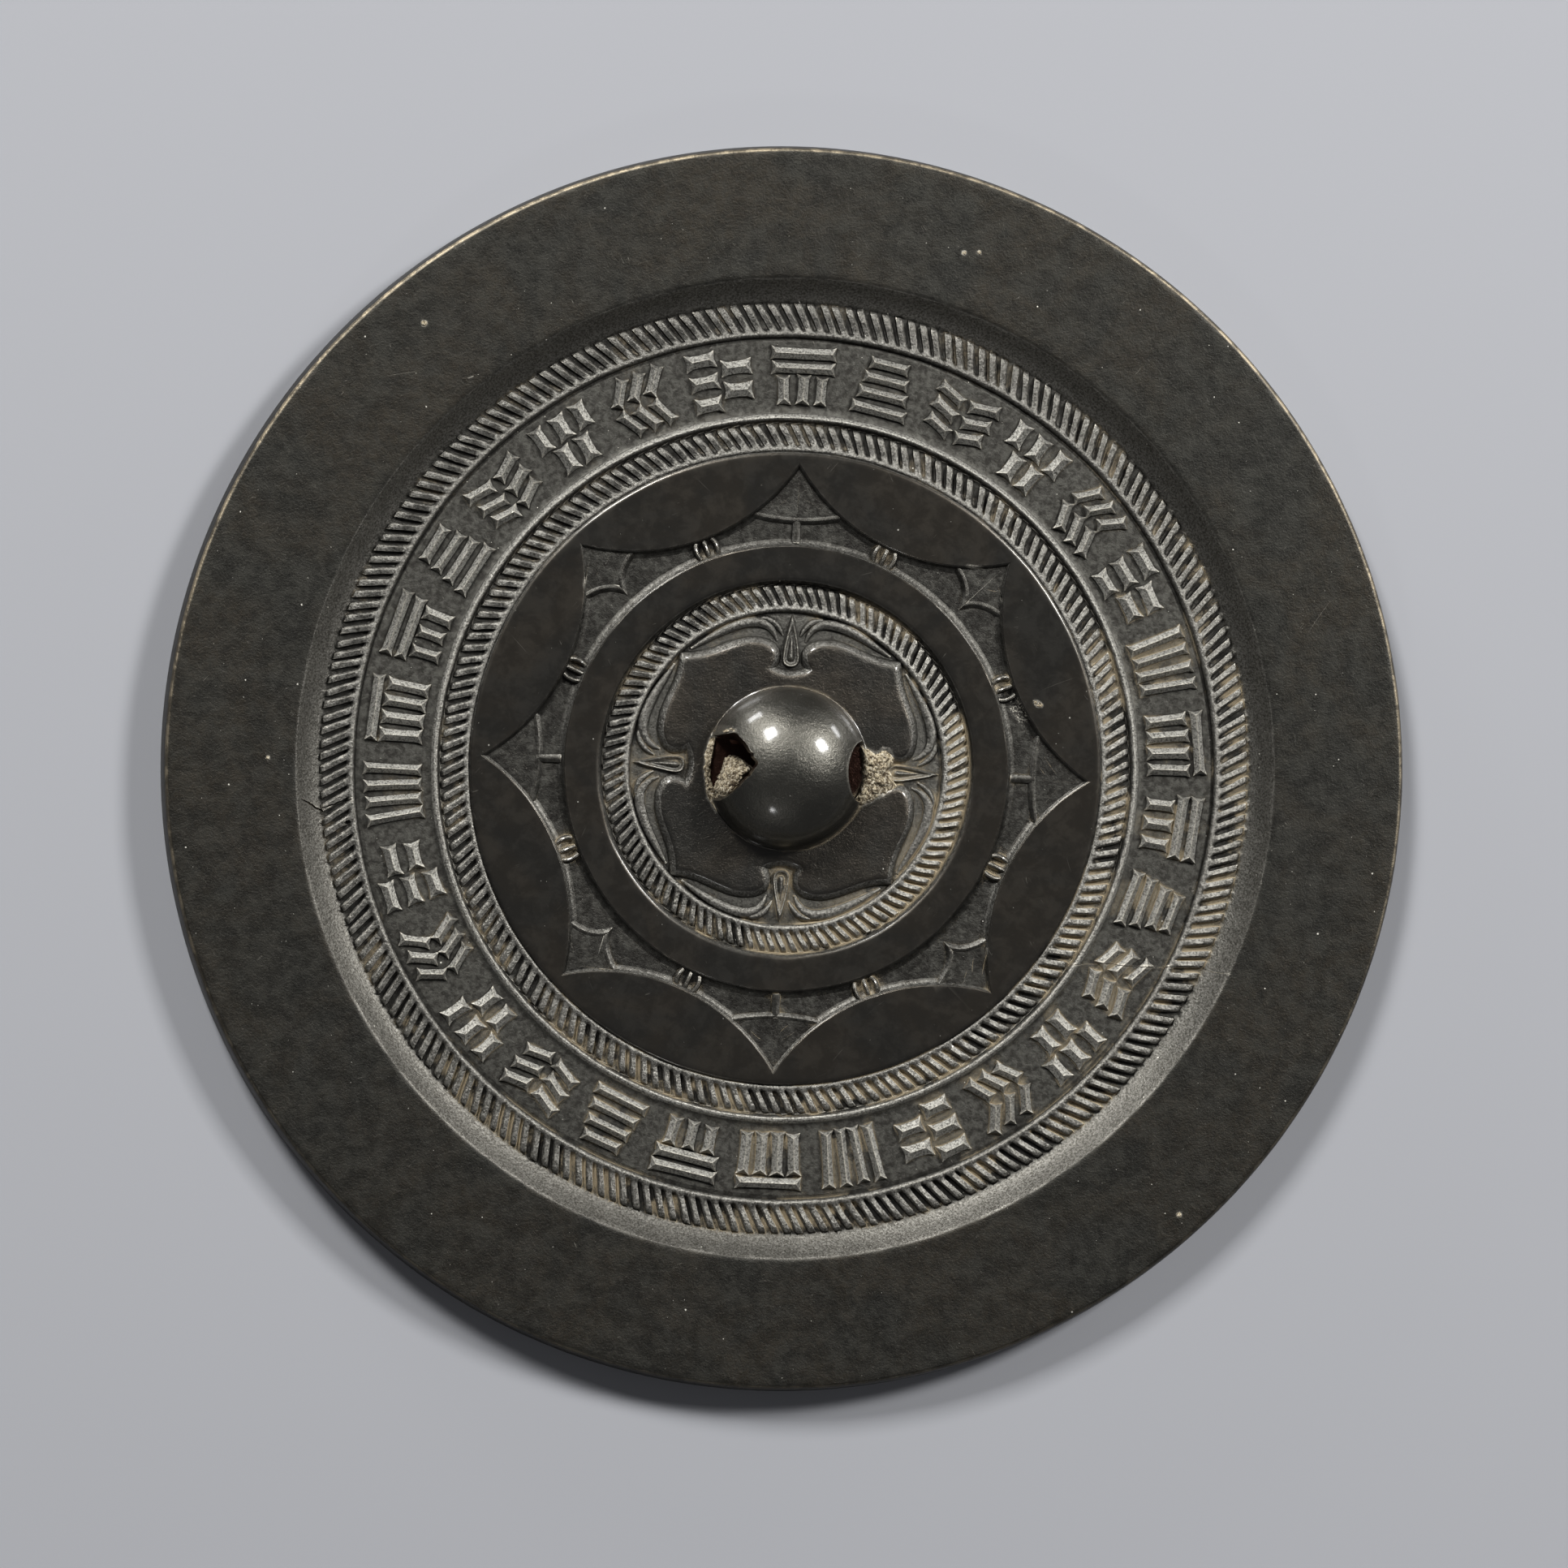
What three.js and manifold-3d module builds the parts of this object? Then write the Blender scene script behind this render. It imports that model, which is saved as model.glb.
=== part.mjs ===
// A cast bronze mirror, seen from its decorated back: a flat reflecting face underneath, a broad
// plain rim, three bands of slanting comb strokes, a band of stroke blocks, eight linked arcs around
// a star-shaped recess, a calyx of four leaves and a domed knob drilled for a cord.
// Millimetres, +Z up through the knob, origin at the centre of the reflecting face.

import * as THREE from 'three';
import { mergeVertices } from 'three/addons/utils/BufferGeometryUtils.js';
import Module from 'manifold-3d';

const wasm = await Module();
wasm.setup();

// ---- Driving dimensions -------------------------------------------------------------------------

const mirrorRadius = 78;
const rimFaceRadius = 77.3;
const rimHeight = 5;
const rimSlopeTopRadius = 61.1;

const groundHeight = 2.2;
const filletHeight = 2.85;
const plateauHeight = 3.15;
const bevelWidth = 0.45;
const embedding = 0.6;

const ringOuterRadius = 27.9;
const ringInnerRadius = 23.5;
const arcsOuterRadius = 39.6;

const starPoints = 8;
const starTipRadius = 37.9;
const starNeckRadius = 30.4;

const calyxGroundRadius = 19.35;
const leafCount = 4;
const leafTipRadius = 18.9;

const knobRadius = 10.15;
const knobHeight = 8.4;
const cordHoleHalfWidth = 3.2;
const cordHoleSideHeight = 2.4;
const wornMouth = { length: 6.5, halfWidth: 4.7, height: 11 };

const blockCount = 30;
const blockRadius = 49.2;
const blockHalfWidth = 4.0;
const blockHalfDepth = 3.7;
const blockStrokeWidth = 1.2;
const blockStrokeHeight = 0.7;

// Each comb band hangs from a thin raised fillet: crest of the fillet, start and end of the valleys
// between the strokes, and the sideways lean of the strokes for each millimetre outward.
const combLean = 0.5;
const combBands = {
  inner: { crest: 20.0, valleyStart: 20.5, valleyEnd: 23.0, strokes: 104 },
  middle: { crest: 39.9, valleyStart: 40.4, valleyEnd: 43.2, strokes: 172 },
  outer: { crest: 54.4, valleyStart: 54.9, valleyEnd: 58.3, strokes: 228 },
};
const combStrokeHeight = 0.55;
const middleFilletRadius = 43.9;

const bodySegments = 64;

// ---- Solids and meshes --------------------------------------------------------------------------

// Turns a closed geometry into a solid that can be joined and cut.
function toSolid(geometry) {
  const plain = geometry.clone();
  plain.deleteAttribute('normal');
  plain.deleteAttribute('uv');
  const merged = mergeVertices(plain, 1e-5);
  return new wasm.Manifold(new wasm.Mesh({
    numProp: 3,
    vertProperties: new Float32Array(merged.attributes.position.array),
    triVerts: new Uint32Array(merged.index.array),
  }));
}

function toGeometry(solid) {
  const mesh = solid.getMesh();
  const geometry = new THREE.BufferGeometry();
  geometry.setAttribute('position', new THREE.BufferAttribute(mesh.vertProperties, 3));
  geometry.setIndex(new THREE.BufferAttribute(mesh.triVerts, 1));
  geometry.computeVertexNormals();
  return geometry;
}

function fromTriangles(corners) {
  return new THREE.BufferGeometry().setFromPoints(corners);
}

function polar(radius, angle, height = 0) {
  return new THREE.Vector3(radius * Math.cos(angle), radius * Math.sin(angle), height);
}

// ---- Body: rings of points joined by bands of triangles ------------------------------------------

function ring(radius, height, count = bodySegments, turn = 0) {
  const step = 2 * Math.PI / count;
  const points = Array.from({ length: count }, (_, i) => polar(radius, turn + i * step, height));
  return { points, count, turn, step };
}

// Joins a ring to the next one inward, whatever their counts, keeping the faces pointing out.
function joinRings(corners, outer, inner) {
  const lag = Math.round((outer.turn - inner.turn) / inner.step);
  const point = (from, index) => from.points[((index % from.count) + from.count) % from.count];
  let i = 0;
  let j = 0;
  while (i < outer.count || j < inner.count) {
    const nextOuter = outer.turn + (i + 0.5) * outer.step;
    const nextInner = inner.turn + (j + lag + 0.5) * inner.step;
    const stepOuter = j >= inner.count || (i < outer.count && nextOuter <= nextInner);
    if (stepOuter) {
      corners.push(point(outer, i), point(outer, i + 1), point(inner, j + lag));
      i += 1;
    } else {
      corners.push(point(outer, i), point(inner, j + lag + 1), point(inner, j + lag));
      j += 1;
    }
  }
}

// A comb band: strokes run out from the fillet's crest as sharp ridges with valleys between them.
function combRings({ crest, valleyStart, valleyEnd, strokes }) {
  const halfStep = Math.PI / strokes;
  const leanAt = (radius) => combLean * (radius - crest) / radius;
  const ridgeTop = groundHeight + combStrokeHeight;
  const ridgeEnd = valleyEnd - 0.35;
  return {
    crest: ring(crest, filletHeight, strokes),
    valleyStart: ring(valleyStart, groundHeight, strokes, leanAt(valleyStart) + halfStep),
    ridgeEnd: ring(ridgeEnd, ridgeTop, strokes, leanAt(ridgeEnd)),
    valleyEnd: ring(valleyEnd, groundHeight, strokes, leanAt(valleyEnd) + halfStep),
  };
}

function joinComb(corners, comb) {
  const count = comb.crest.count;
  for (let i = 0; i < count; i += 1) {
    const next = (i + 1) % count;
    const [crest, nextCrest] = [comb.crest.points[i], comb.crest.points[next]];
    const [ridgeEnd, nextRidgeEnd] = [comb.ridgeEnd.points[i], comb.ridgeEnd.points[next]];
    const [start, end] = [comb.valleyStart.points[i], comb.valleyEnd.points[i]];
    const nextEnd = comb.valleyEnd.points[next];
    corners.push(start, nextCrest, crest);
    corners.push(end, start, crest, ridgeEnd, end, crest);
    corners.push(start, end, nextCrest, end, nextRidgeEnd, nextCrest);
    corners.push(end, nextEnd, nextRidgeEnd);
  }
}

function bodySolid() {
  const combs = {
    inner: combRings(combBands.inner),
    middle: combRings(combBands.middle),
    outer: combRings(combBands.outer),
  };
  const flank = filletHeight - groundHeight;
  const runs = [
    [
      ring(mirrorRadius, 0),
      ring(rimFaceRadius, rimHeight),
      ring(rimSlopeTopRadius, rimHeight),
      combs.outer.valleyEnd,
    ],
    [
      combs.outer.crest,
      ring(combBands.outer.crest - flank, groundHeight),
      ring(middleFilletRadius + flank, groundHeight),
      ring(middleFilletRadius, filletHeight),
      combs.middle.valleyEnd,
    ],
    [
      combs.middle.crest,
      ring(arcsOuterRadius, plateauHeight),
      ring(ringInnerRadius, plateauHeight),
      combs.inner.valleyEnd,
    ],
    [
      combs.inner.crest,
      ring(calyxGroundRadius, groundHeight),
    ],
  ];
  const corners = [];
  for (const run of runs) {
    for (let k = 0; k + 1 < run.length; k += 1) {
      joinRings(corners, run[k], run[k + 1]);
    }
  }
  for (const comb of Object.values(combs)) {
    joinComb(corners, comb);
  }
  const base = runs[0][0].points;
  const calyxGround = runs[3][1].points;
  for (let i = 0; i < bodySegments; i += 1) {
    const next = (i + 1) % bodySegments;
    corners.push(base[next], base[i], new THREE.Vector3());
    corners.push(calyxGround[i], calyxGround[next], new THREE.Vector3(0, 0, groundHeight));
  }
  return toSolid(fromTriangles(corners));
}

// ---- Raised strokes and plates -------------------------------------------------------------------

// A raised stroke along a route in plan, with a sharp crest and hipped ends. The width is given at
// the level it stands on; its foot reaches a little below that, inside the metal.
function strokeSolid(route, widthAt, height, base = groundHeight) {
  const deep = 0.3;
  const spread = (height + deep) / height;
  const last = route.length - 1;
  const stations = route.map((point, i) => {
    const along = new THREE.Vector2().subVectors(
      route[Math.min(i + 1, last)],
      route[Math.max(i - 1, 0)],
    ).normalize();
    const half = widthAt(i / last) / 2;
    const end = (i === 0 ? 1 : 0) - (i === last ? 1 : 0);
    const crest = point.clone().addScaledVector(along, end * half);
    const foot = point.clone().addScaledVector(along, -end * half * (spread - 1));
    const across = new THREE.Vector2(-along.y, along.x).multiplyScalar(half * spread);
    const left = foot.clone().add(across);
    const right = foot.clone().sub(across);
    return {
      crest: new THREE.Vector3(crest.x, crest.y, base + height),
      left: new THREE.Vector3(left.x, left.y, base - deep),
      right: new THREE.Vector3(right.x, right.y, base - deep),
    };
  });
  const corners = [];
  for (let i = 0; i < last; i += 1) {
    const [here, next] = [stations[i], stations[i + 1]];
    corners.push(here.right, next.right, next.crest, here.right, next.crest, here.crest);
    corners.push(next.left, here.left, here.crest, next.left, here.crest, next.crest);
    corners.push(here.left, next.left, next.right, here.left, next.right, here.right);
  }
  const [start, finish] = [stations[0], stations[last]];
  corners.push(start.left, start.right, start.crest, finish.right, finish.left, finish.crest);
  return toSolid(fromTriangles(corners));
}

// Straight strokes keep one width; tendrils swell in the middle and run out to points.
const evenWidth = (width) => () => width;
const taperedWidth = (width) => (t) => width * Math.max(0.15, Math.sin(Math.PI * t) ** 0.6);

// A plate with bevelled edges: the outline is its top face, and the bevel spreads down to its foot.
function plateSolid(shape, foot, top, bevel, curveSegments = 6) {
  const rise = top - foot;
  const geometry = new THREE.ExtrudeGeometry(shape, {
    depth: 0.05,
    bevelEnabled: true,
    bevelThickness: rise,
    bevelSize: bevel,
    bevelSegments: 1,
    curveSegments,
  });
  geometry.translate(0, 0, top - rise - 0.05);
  return toSolid(geometry);
}

function turned(points, angle) {
  const centre = new THREE.Vector2();
  return points.map((point) => point.clone().rotateAround(centre, angle));
}

// ---- Calyx: four leaves between four notches, each notch with a bud and two pairs of tendrils ----

// Half of a notch, from its foot on the centre line to the leaf's tip, for the notch that opens +Y.
function notchHalf() {
  const leafTip = new THREE.Vector2(leafTipRadius, 0).rotateAround(new THREE.Vector2(), Math.PI / 4);
  const shoulder = new THREE.Vector2(4.7, 15.65);
  const neck = new THREE.Vector2(1.95, 14.2);
  const footCorner = new THREE.Vector2(2.6, 12.4);
  const foot = new THREE.QuadraticBezierCurve(
    new THREE.Vector2(0, 11.65), new THREE.Vector2(1.5, 11.7), footCorner);
  const rise = new THREE.CubicBezierCurve(
    neck, new THREE.Vector2(2.0, 15.1), new THREE.Vector2(3.1, 15.65), shoulder);
  const sweep = new THREE.CubicBezierCurve(
    shoulder, new THREE.Vector2(7.6, 15.65), new THREE.Vector2(9.4, 13.5), leafTip);
  return [
    ...foot.getPoints(2),
    neck,
    ...rise.getPoints(2).slice(1),
    ...sweep.getPoints(4).slice(1),
  ];
}

function calyxSolid() {
  const half = notchHalf();
  const mirrored = half.slice(1).map((point) => new THREE.Vector2(-point.x, point.y));
  const outline = [];
  for (let leaf = 0; leaf < leafCount; leaf += 1) {
    const turn = leaf * 2 * Math.PI / leafCount;
    outline.push(...turned([...half].reverse(), turn), ...turned(mirrored.slice(0, -1), turn));
  }
  return plateSolid(new THREE.Shape(outline), groundHeight, plateauHeight, bevelWidth);
}

function notchStrokes(turn) {
  const budWidth = (t) => 1.9 * Math.max(0.12, Math.min(Math.sqrt(5 * t + 0.1), 1.35 * (1 - t)));
  const bud = [0, 0.15, 0.4, 1].map((t) => new THREE.Vector2(0, 13.1 + 5.3 * t));
  const innerTendril = new THREE.CubicBezierCurve(
    new THREE.Vector2(0.95, 16.5), new THREE.Vector2(1.7, 18.0),
    new THREE.Vector2(2.9, 18.8), new THREE.Vector2(4.1, 18.6));
  const outerTendril = new THREE.CubicBezierCurve(
    new THREE.Vector2(1.75, 16.0), new THREE.Vector2(3.2, 20.0),
    new THREE.Vector2(7.2, 18.0), new THREE.Vector2(12.3, 14.4));
  const solids = [strokeSolid(turned(bud, turn), budWidth, 0.75)];
  for (const side of [1, -1]) {
    const place = (curve, steps) => turned(
      curve.getPoints(steps).map((point) => new THREE.Vector2(side * point.x, point.y)), turn);
    solids.push(strokeSolid(place(innerTendril, 3), taperedWidth(0.6), 0.45));
    solids.push(strokeSolid(place(outerTendril, 5), taperedWidth(0.75), 0.55));
  }
  return solids;
}

// ---- Star-shaped recess between the plain ring and the linked arcs -------------------------------

const starStep = 2 * Math.PI / starPoints;
const starFloor = groundHeight + 0.1;

// The star's edge is a chain of arcs that bulge toward the centre; an inset makes the arcs larger.
function starOutline(inset) {
  const half = starStep / 2;
  const chord = starTipRadius * Math.sin(half);
  const sagitta = starTipRadius * Math.cos(half) - starNeckRadius;
  const arcRadius = (chord * chord + sagitta * sagitta) / (2 * sagitta);
  const arcCentre = starNeckRadius + arcRadius;
  const radius = arcRadius + inset;
  const reach = arcCentre * Math.cos(half) - Math.sqrt(radius ** 2 - (arcCentre * Math.sin(half)) ** 2);
  const opening = Math.asin(reach * Math.sin(half) / radius);
  const segments = 5;
  const outline = [];
  for (let k = 0; k < starPoints; k += 1) {
    const neck = new THREE.Vector2(arcCentre, 0);
    for (let s = 0; s < segments; s += 1) {
      const angle = Math.PI + opening * (1 - 2 * s / segments);
      const point = new THREE.Vector2(radius, 0).rotateAround(new THREE.Vector2(), angle).add(neck);
      outline.push(...turned([point], (k + 0.5) * starStep));
    }
  }
  return outline;
}

// Joins two outlines of equally many points with straight sides and flat ends.
function loftSolid(lower, lowerHeight, upper, upperHeight) {
  const raise = (point, height) => new THREE.Vector3(point.x, point.y, height);
  const corners = [];
  for (let i = 0; i < lower.length; i += 1) {
    const next = (i + 1) % lower.length;
    const [a, b] = [raise(lower[i], lowerHeight), raise(lower[next], lowerHeight)];
    const [c, d] = [raise(upper[next], upperHeight), raise(upper[i], upperHeight)];
    corners.push(a, b, c, a, c, d);
  }
  for (const [i, j, k] of THREE.ShapeUtils.triangulateShape(lower, [])) {
    corners.push(raise(lower[k], lowerHeight), raise(lower[j], lowerHeight), raise(lower[i], lowerHeight));
    corners.push(raise(upper[i], upperHeight), raise(upper[j], upperHeight), raise(upper[k], upperHeight));
  }
  return toSolid(fromTriangles(corners));
}

function starRecess() {
  const depth = plateauHeight - starFloor;
  const above = 0.5;
  const slope = bevelWidth / depth;
  const star = loftSolid(
    starOutline(bevelWidth), starFloor, starOutline(-slope * above), plateauHeight + above);
  const ringCore = new THREE.CylinderGeometry(
    ringOuterRadius - slope * above * 2, ringOuterRadius + bevelWidth + slope * above,
    depth + 3 * above, bodySegments);
  ringCore.rotateX(Math.PI / 2);
  ringCore.translate(0, 0, (plateauHeight + starFloor + above) / 2);
  return star.subtract(toSolid(ringCore));
}

// Low plates fill the star's tips. On the notches' axes their inner edge is one shallow bow, and
// between them it is two bows that meet in a cusp pointing at the centre.
function tipPlate(index) {
  const shape = new THREE.Shape();
  const apex = starTipRadius + 1.2;
  if (index % 2 === 0) {
    shape.moveTo(6.9, 31.9);
    shape.lineTo(0, apex);
    shape.lineTo(-6.9, 31.9);
    shape.quadraticCurveTo(0, 30.2, 6.9, 31.9);
  } else {
    shape.moveTo(6.2, 33.0);
    shape.lineTo(0, apex);
    shape.lineTo(-6.2, 33.0);
    shape.quadraticCurveTo(-1.2, 32.9, 0, 30.1);
    shape.quadraticCurveTo(1.2, 32.9, 6.2, 33.0);
  }
  const plate = plateSolid(shape, starFloor, starFloor + 0.4, 0.15, 3);
  return plate.rotate([0, 0, THREE.MathUtils.radToDeg(index * starStep)]);
}

function starStrokes() {
  const solids = [];
  const radial = (inner, outer, angle, shift) => turned(
    [new THREE.Vector2(shift, inner), new THREE.Vector2(shift, outer)], angle);
  for (let k = 0; k < starPoints; k += 1) {
    const neckAngle = (k + 0.5) * starStep;
    for (const shift of [-1.05, 0, 1.05]) {
      const route = radial(ringOuterRadius + bevelWidth, starNeckRadius - bevelWidth, neckAngle, shift);
      solids.push(strokeSolid(route, evenWidth(0.8), 0.7, starFloor));
    }
    solids.push(tipPlate(k));
    if (k % 2 === 0) {
      const route = radial(ringOuterRadius + 0.3, 31.3, k * starStep, 0);
      solids.push(strokeSolid(route, evenWidth(0.9), 0.3, starFloor));
    }
  }
  return solids;
}

// ---- Band of stroke blocks ------------------------------------------------------------------------

// Each block is a handful of strokes in a square from -1 to 1, u clockwise and v outward.
const spread = (count, from, to, make) => Array.from(
  { length: count }, (_, i) => make(THREE.MathUtils.lerp(from, to, i / (count - 1))));
const upright = (low, high) => (u) => [u, low, u, high];
const level = (left, right) => (v) => [left, v, right, v];

const blockPatterns = [
  // two long bars over three short posts
  [...spread(2, 0.28, 0.78, level(-1, 1)), ...spread(3, -0.62, 0.62, upright(-1, -0.02))],
  // three bars beside two, laid like bricks
  [...spread(3, -0.76, 0.76, level(-1, -0.06)), ...spread(2, -0.38, 0.38, level(0.06, 1))],
  // a herringbone of three pairs
  [...spread(3, -0.72, 0.42, (v) => [-1, v + 0.34, -0.12, v]),
    ...spread(3, -0.72, 0.42, (v) => [1, v + 0.34, 0.12, v])],
  // a long bar over four posts
  [[-1, 0.78, 1, 0.78], ...spread(4, -0.78, 0.78, upright(-1, 0.45))],
  // two rows of strokes that lean opposite ways
  [...spread(3, -0.8, 0.3, (u) => [u, 0.15, u + 0.5, 0.95]),
    ...spread(3, -0.8, 0.3, (u) => [u + 0.5, -0.95, u, -0.15])],
  // four level bars that grow longer inward
  spread(4, -0.78, 0.78, (v) => [-0.78 + 0.22 * v, v, 0.78 - 0.22 * v, v]),
  // a fan of four strokes
  spread(4, -0.78, 0.78, (u) => [0.88 * u, -1, u, 1]),
  // three posts over two, laid like bricks
  [...spread(3, -0.72, 0.72, upright(0.06, 1)), ...spread(2, -0.36, 0.36, upright(-1, -0.06))],
];

function blockStrokes() {
  const solids = [];
  for (let block = 0; block < blockCount; block += 1) {
    const angle = Math.PI / 2 - block * 2 * Math.PI / blockCount;
    const place = (u, v) => {
      const radius = blockRadius + v * blockHalfDepth;
      const point = polar(radius, angle - u * blockHalfWidth / blockRadius);
      return new THREE.Vector2(point.x, point.y);
    };
    for (const [u0, v0, u1, v1] of blockPatterns[(block * 5) % blockPatterns.length]) {
      const route = [place(u0, v0), place(u1, v1)];
      solids.push(strokeSolid(route, evenWidth(blockStrokeWidth), blockStrokeHeight));
    }
  }
  return solids;
}

// ---- Knob: a dome with an arched cord hole along X, whose -X mouth is worn wide -------------------

function knobSolid() {
  const domeRings = 6;
  const profile = Array.from({ length: domeRings + 1 }, (_, i) => {
    const angle = Math.PI / 2 * (1 - i / domeRings);
    return new THREE.Vector2(knobRadius * Math.cos(angle), plateauHeight + knobHeight * Math.sin(angle));
  });
  profile[0].x = 0;
  profile.push(new THREE.Vector2(knobRadius, plateauHeight - embedding));
  profile.push(new THREE.Vector2(0, plateauHeight - embedding));
  const dome = new THREE.LatheGeometry(profile.reverse(), 24);
  dome.rotateX(Math.PI / 2);

  const arch = new THREE.Shape();
  arch.moveTo(-cordHoleHalfWidth, 0);
  arch.lineTo(cordHoleHalfWidth, 0);
  arch.lineTo(cordHoleHalfWidth, cordHoleSideHeight);
  arch.absarc(0, cordHoleSideHeight, cordHoleHalfWidth, 0, Math.PI);
  const hole = new THREE.ExtrudeGeometry(arch, {
    depth: 3 * knobRadius,
    bevelEnabled: false,
    curveSegments: 4,
  });
  hole.applyMatrix4(new THREE.Matrix4().makeBasis(
    new THREE.Vector3(0, 1, 0), new THREE.Vector3(0, 0, 1), new THREE.Vector3(1, 0, 0)));
  hole.translate(-1.5 * knobRadius, 0, plateauHeight);

  const wear = new THREE.SphereGeometry(1, 10, 8);
  wear.scale(wornMouth.length, wornMouth.halfWidth, wornMouth.height);
  wear.translate(-knobRadius + 0.35, 0, plateauHeight);
  return toSolid(dome).subtract(toSolid(hole)).subtract(toSolid(wear));
}

// ---- The mirror -----------------------------------------------------------------------------------

function mirrorSolid() {
  let mirror = bodySolid().subtract(starRecess());
  const raised = [calyxSolid(), knobSolid(), ...starStrokes(), ...blockStrokes()];
  for (let leaf = 0; leaf < leafCount; leaf += 1) {
    raised.push(...notchStrokes(leaf * 2 * Math.PI / leafCount));
  }
  for (const solid of raised) {
    mirror = mirror.add(solid);
  }
  return mirror;
}

const darkBronze = new THREE.MeshStandardMaterial({ color: 0x35312b, roughness: 0.42, metalness: 0.75 });
const mirror = new THREE.Mesh(toGeometry(mirrorSolid()), darkBronze);
mirror.name = 'mirror';

const part = new THREE.Group();
part.add(mirror);

export default part;
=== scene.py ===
import math
import random

import bmesh
import bpy
import numpy as np
from mathutils import Matrix, Vector, noise


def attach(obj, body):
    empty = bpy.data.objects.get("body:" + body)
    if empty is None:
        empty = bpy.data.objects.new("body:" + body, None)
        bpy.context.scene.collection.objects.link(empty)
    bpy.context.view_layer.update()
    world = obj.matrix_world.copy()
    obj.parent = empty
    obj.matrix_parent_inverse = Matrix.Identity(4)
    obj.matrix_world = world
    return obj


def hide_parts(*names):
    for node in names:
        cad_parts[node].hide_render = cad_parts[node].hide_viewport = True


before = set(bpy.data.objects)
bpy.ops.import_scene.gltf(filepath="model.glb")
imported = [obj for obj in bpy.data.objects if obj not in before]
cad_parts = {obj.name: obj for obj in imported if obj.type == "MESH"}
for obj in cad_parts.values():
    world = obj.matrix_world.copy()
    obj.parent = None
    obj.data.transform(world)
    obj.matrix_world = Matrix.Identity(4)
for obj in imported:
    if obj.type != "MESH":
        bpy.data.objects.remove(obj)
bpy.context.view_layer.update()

MM = 0.001

# ---- Viewpoint ----------------------------------------------------------------------------------
# The mirror lies on its reflecting face. It is looked at from almost straight above through a long
# lens, from a little toward the broken mouth of the cord hole, with its axes turned very slightly.


def linked(name, data):
    """An object in the scene for a camera, a lamp or a mesh."""
    made = bpy.data.objects.new(name, data)
    bpy.context.scene.collection.objects.link(made)
    return made


viewing_tilt = math.radians(4.5)
viewing_turn = math.radians(2.5)
viewing_distance = 0.95
framed_width = 0.1962
centre_in_frame = (0.00025, 0.00193)

level_right = Vector((math.cos(viewing_turn), math.sin(viewing_turn), 0))
frame_up = Vector((-math.sin(viewing_turn), math.cos(viewing_turn), 0))
toward_viewer = Vector((0, 0, math.cos(viewing_tilt))) - level_right * math.sin(viewing_tilt)
frame_right = level_right * math.cos(viewing_tilt) + Vector((0, 0, math.sin(viewing_tilt)))
aim = Vector((0, 0, 2.5 * MM)) - frame_right * centre_in_frame[0] - frame_up * centre_in_frame[1]

camera_data = bpy.data.cameras.new("viewpoint")
camera_data.sensor_width = 36
camera_data.lens = 36 * viewing_distance / framed_width
camera_data.clip_start, camera_data.clip_end = 0.05, 20
camera = linked("viewpoint", camera_data)
camera.matrix_world = Matrix((
    (*frame_right, 0), (*frame_up, 0), (*toward_viewer, 0), (0, 0, 0, 1))).transposed()
camera.location = aim + toward_viewer * viewing_distance
bpy.context.scene.camera = camera
bpy.context.scene.view_settings.view_transform = "Standard"

# ---- Table and light ----------------------------------------------------------------------------
# A plain pale table top, lit by two soft boxes beyond the top edge, one to the right and a taller
# one to the left, each with a weaker low box under it. A small lamp at the lower left and a dim room
# all round fill the shadows.


def new_material(name):
    """A material with nodes, and the shader in it."""
    made = bpy.data.materials.new(name)
    made.use_nodes = True
    return made, made.node_tree.nodes["Principled BSDF"]


table_half = 3.0
lamp_distance = 1.3
table_mesh = bpy.data.meshes.new("table_top")
table_mesh.from_pydata(
    [(x * table_half, y * table_half, -0.02 * MM) for x, y in ((-1, -1), (1, -1), (1, 1), (-1, 1))],
    [], [(0, 1, 2, 3)])
table_top = linked("table_top", table_mesh)
pale_paint, paint_shader = new_material("pale_table_paint")
paint_shader.inputs["Roughness"].default_value = 0.8
paint_shader.inputs["Specular IOR Level"].default_value = 0.2
paint_shader.inputs["Base Color"].default_value = (0.2, 0.203, 0.214, 1)
table_mesh.materials.append(pale_paint)


def soft_box(name, azimuth, elevation, wide, tall, radiance):
    """A soft box that faces the mirror: its azimuth is counted from the frame's right side."""
    turn, rise = math.radians(azimuth) + viewing_turn, math.radians(elevation)
    outward = Vector((
        math.cos(turn) * math.cos(rise), math.sin(turn) * math.cos(rise), math.sin(rise)))
    lamp = bpy.data.lights.new(name, "AREA")
    lamp.shape = "RECTANGLE"
    lamp.size, lamp.size_y = wide, tall
    lamp.energy = radiance * math.pi * wide * tall
    box = linked(name, lamp)
    box.location = outward * lamp_distance
    box.rotation_euler = outward.to_track_quat("Z", "Y").to_euler()


soft_box("right_soft_box", 33, 39, 0.26, 0.25, 125)
soft_box("right_low_box", 36, 3, 0.26, 0.2, 28)
soft_box("left_soft_box", 115, 41, 0.3, 0.31, 95)
soft_box("left_low_box", 121, 4, 0.34, 0.3, 30)
soft_box("lower_lamp", 252, 34, 0.12, 0.12, 30)

room = bpy.data.worlds.new("dim_room")
bpy.context.scene.world = room
room.use_nodes = True
room.node_tree.nodes["Background"].inputs["Color"].default_value = (0.2, 0.205, 0.22, 1)
room.node_tree.nodes["Background"].inputs["Strength"].default_value = 0.6

# ---- Cast disc: rim, slope, comb bands, fillets and plain grounds -------------------------------
# The mirror is one bronze casting. Its disc is a stack of turned rings, and the comb bands were
# pressed into the clay mould stroke by stroke, so no two strokes are quite alike. Millimetres here.

ground = 2.2
fillet_top = 2.87
plateau = 3.15
rim_top = 5.0
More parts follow.
